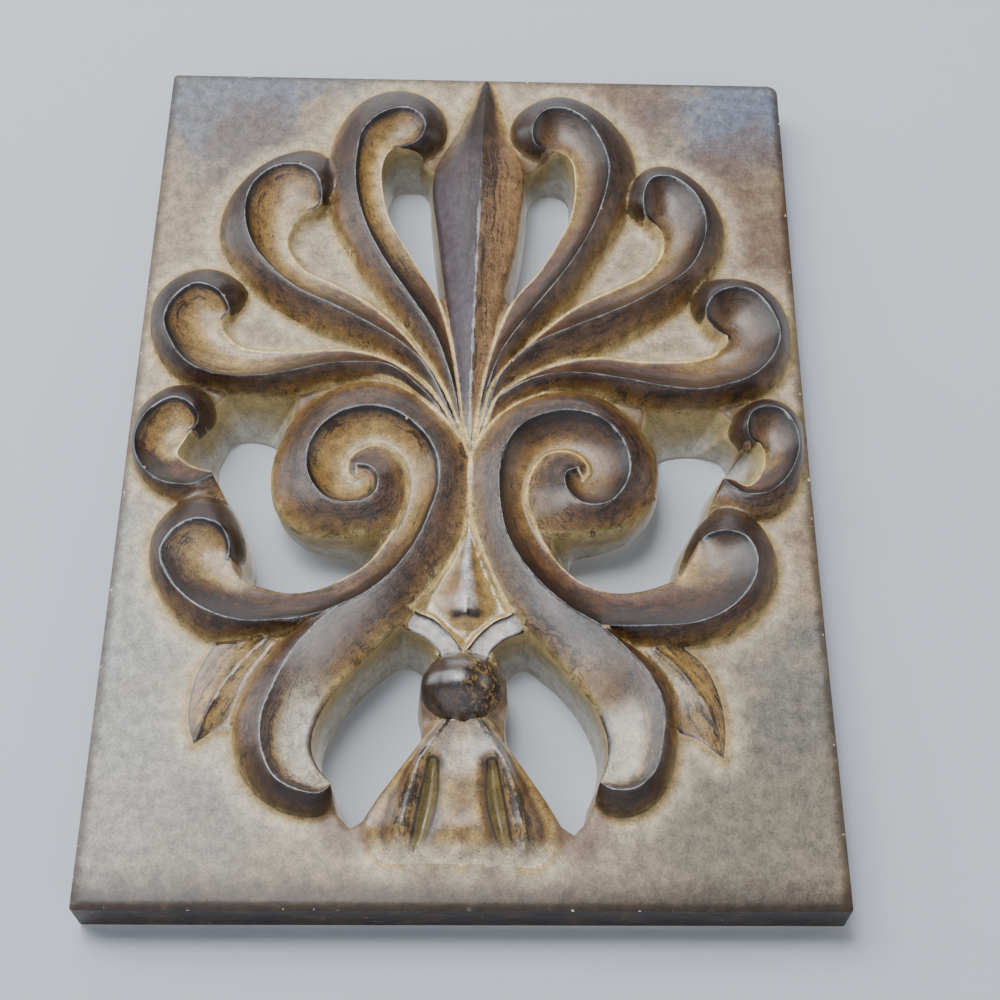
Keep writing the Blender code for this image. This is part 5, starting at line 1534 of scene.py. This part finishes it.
# ------------------------------------------------------------------------------------------------------------
# The stage: a plain pale wall just behind the plaque, curving forward into a floor well below it, and soft
# lamps. From behind the wall can't be seen, so that it doesn't hide the back of the plaque.

WALL_GAP = 0.0006
WALL_TOP = 1.6
FLOOR = -0.45
FLOOR_FRONT = -2.5
HALF_WIDTH = 2.0
SWEEP = 0.15
SWEEP_STEPS = 12

profile = [(WALL_GAP, WALL_TOP)]
for step in range(SWEEP_STEPS + 1):
    angle = math.pi / 2 * step / SWEEP_STEPS
    profile.append((WALL_GAP - SWEEP + SWEEP * math.cos(angle), FLOOR + SWEEP - SWEEP * math.sin(angle)))
profile.append((FLOOR_FRONT, FLOOR))
sheet = bpy.data.meshes.new("backdrop")
sheet.from_pydata(
    [(x, y, z) for y, z in profile for x in (-HALF_WIDTH, HALF_WIDTH)],
    [],
    [(2 * i, 2 * i + 2, 2 * i + 3, 2 * i + 1) for i in range(len(profile) - 1)],
)
sheet.polygons.foreach_set("use_smooth", [True] * len(sheet.polygons))
backdrop = bpy.data.objects.new("backdrop", sheet)
bpy.context.collection.objects.link(backdrop)
pale = bpy.data.materials.new("pale backdrop")
pale.use_nodes = True
tree = pale.node_tree
shader = tree.nodes["Principled BSDF"]
shader.inputs["Base Color"].default_value = colour(178, 181, 187)
shader.inputs["Roughness"].default_value = 0.9
behind = put("ShaderNodeNewGeometry", tree=tree)["Backfacing"]
unseen = reckon("MAXIMUM", behind, put("ShaderNodeLightPath", tree=tree)["Is Shadow Ray"])
clear = put("ShaderNodeBsdfTransparent", tree=tree)[0]
surface = put("ShaderNodeMixShader", {0: unseen, 1: Outputs(shader)[0], 2: clear})[0]
give(tree.nodes["Material Output"], Surface=surface)
sheet.materials.append(pale)

world = bpy.data.worlds.new("studio")
bpy.context.scene.world = world
world.use_nodes = True
world.node_tree.nodes["Background"].inputs["Color"].default_value = (0.75, 0.82, 0.95, 1.0)
world.node_tree.nodes["Background"].inputs["Strength"].default_value = 0.12

# Each lamp: where it is, its width and height, its power in watts, and its tint. All face the plaque.
for name, spot, size, watts, tint in (
    ("window in front, to the upper left", (-0.5, -1.12, 0.5), (1.3, 0.8), 24.0, (0.92, 0.96, 1.0)),
    ("bright pane of the window", (-0.2, -1.25, 0.34), (0.4, 0.3), 8.0, (0.95, 0.98, 1.0)),
    ("light from the left", (-1.1, -0.3, 0.45), (0.6, 0.6), 5.5, (0.88, 0.94, 1.0)),
    ("fill from the right", (1.1, -0.5, 0.25), (0.8, 0.8), 3.5, (1.0, 0.97, 0.92)),
    ("light from above", (-0.1, -0.35, 1.15), (0.9, 0.7), 5.0, (0.95, 0.97, 1.0)),
    ("soft light behind", (0.3, 1.0, 0.6), (0.8, 0.8), 16.0, (1.0, 1.0, 1.0)),
):
    light = bpy.data.lights.new(name, "AREA")
    light.shape = "RECTANGLE"
    light.size, light.size_y = size
    light.energy = watts
    light.color = tint
    lamp = bpy.data.objects.new(name, light)
    bpy.context.collection.objects.link(lamp)
    lamp.matrix_world = Matrix.Translation(spot) @ Vector(spot).to_track_quat("Z", "Y").to_matrix().to_4x4()
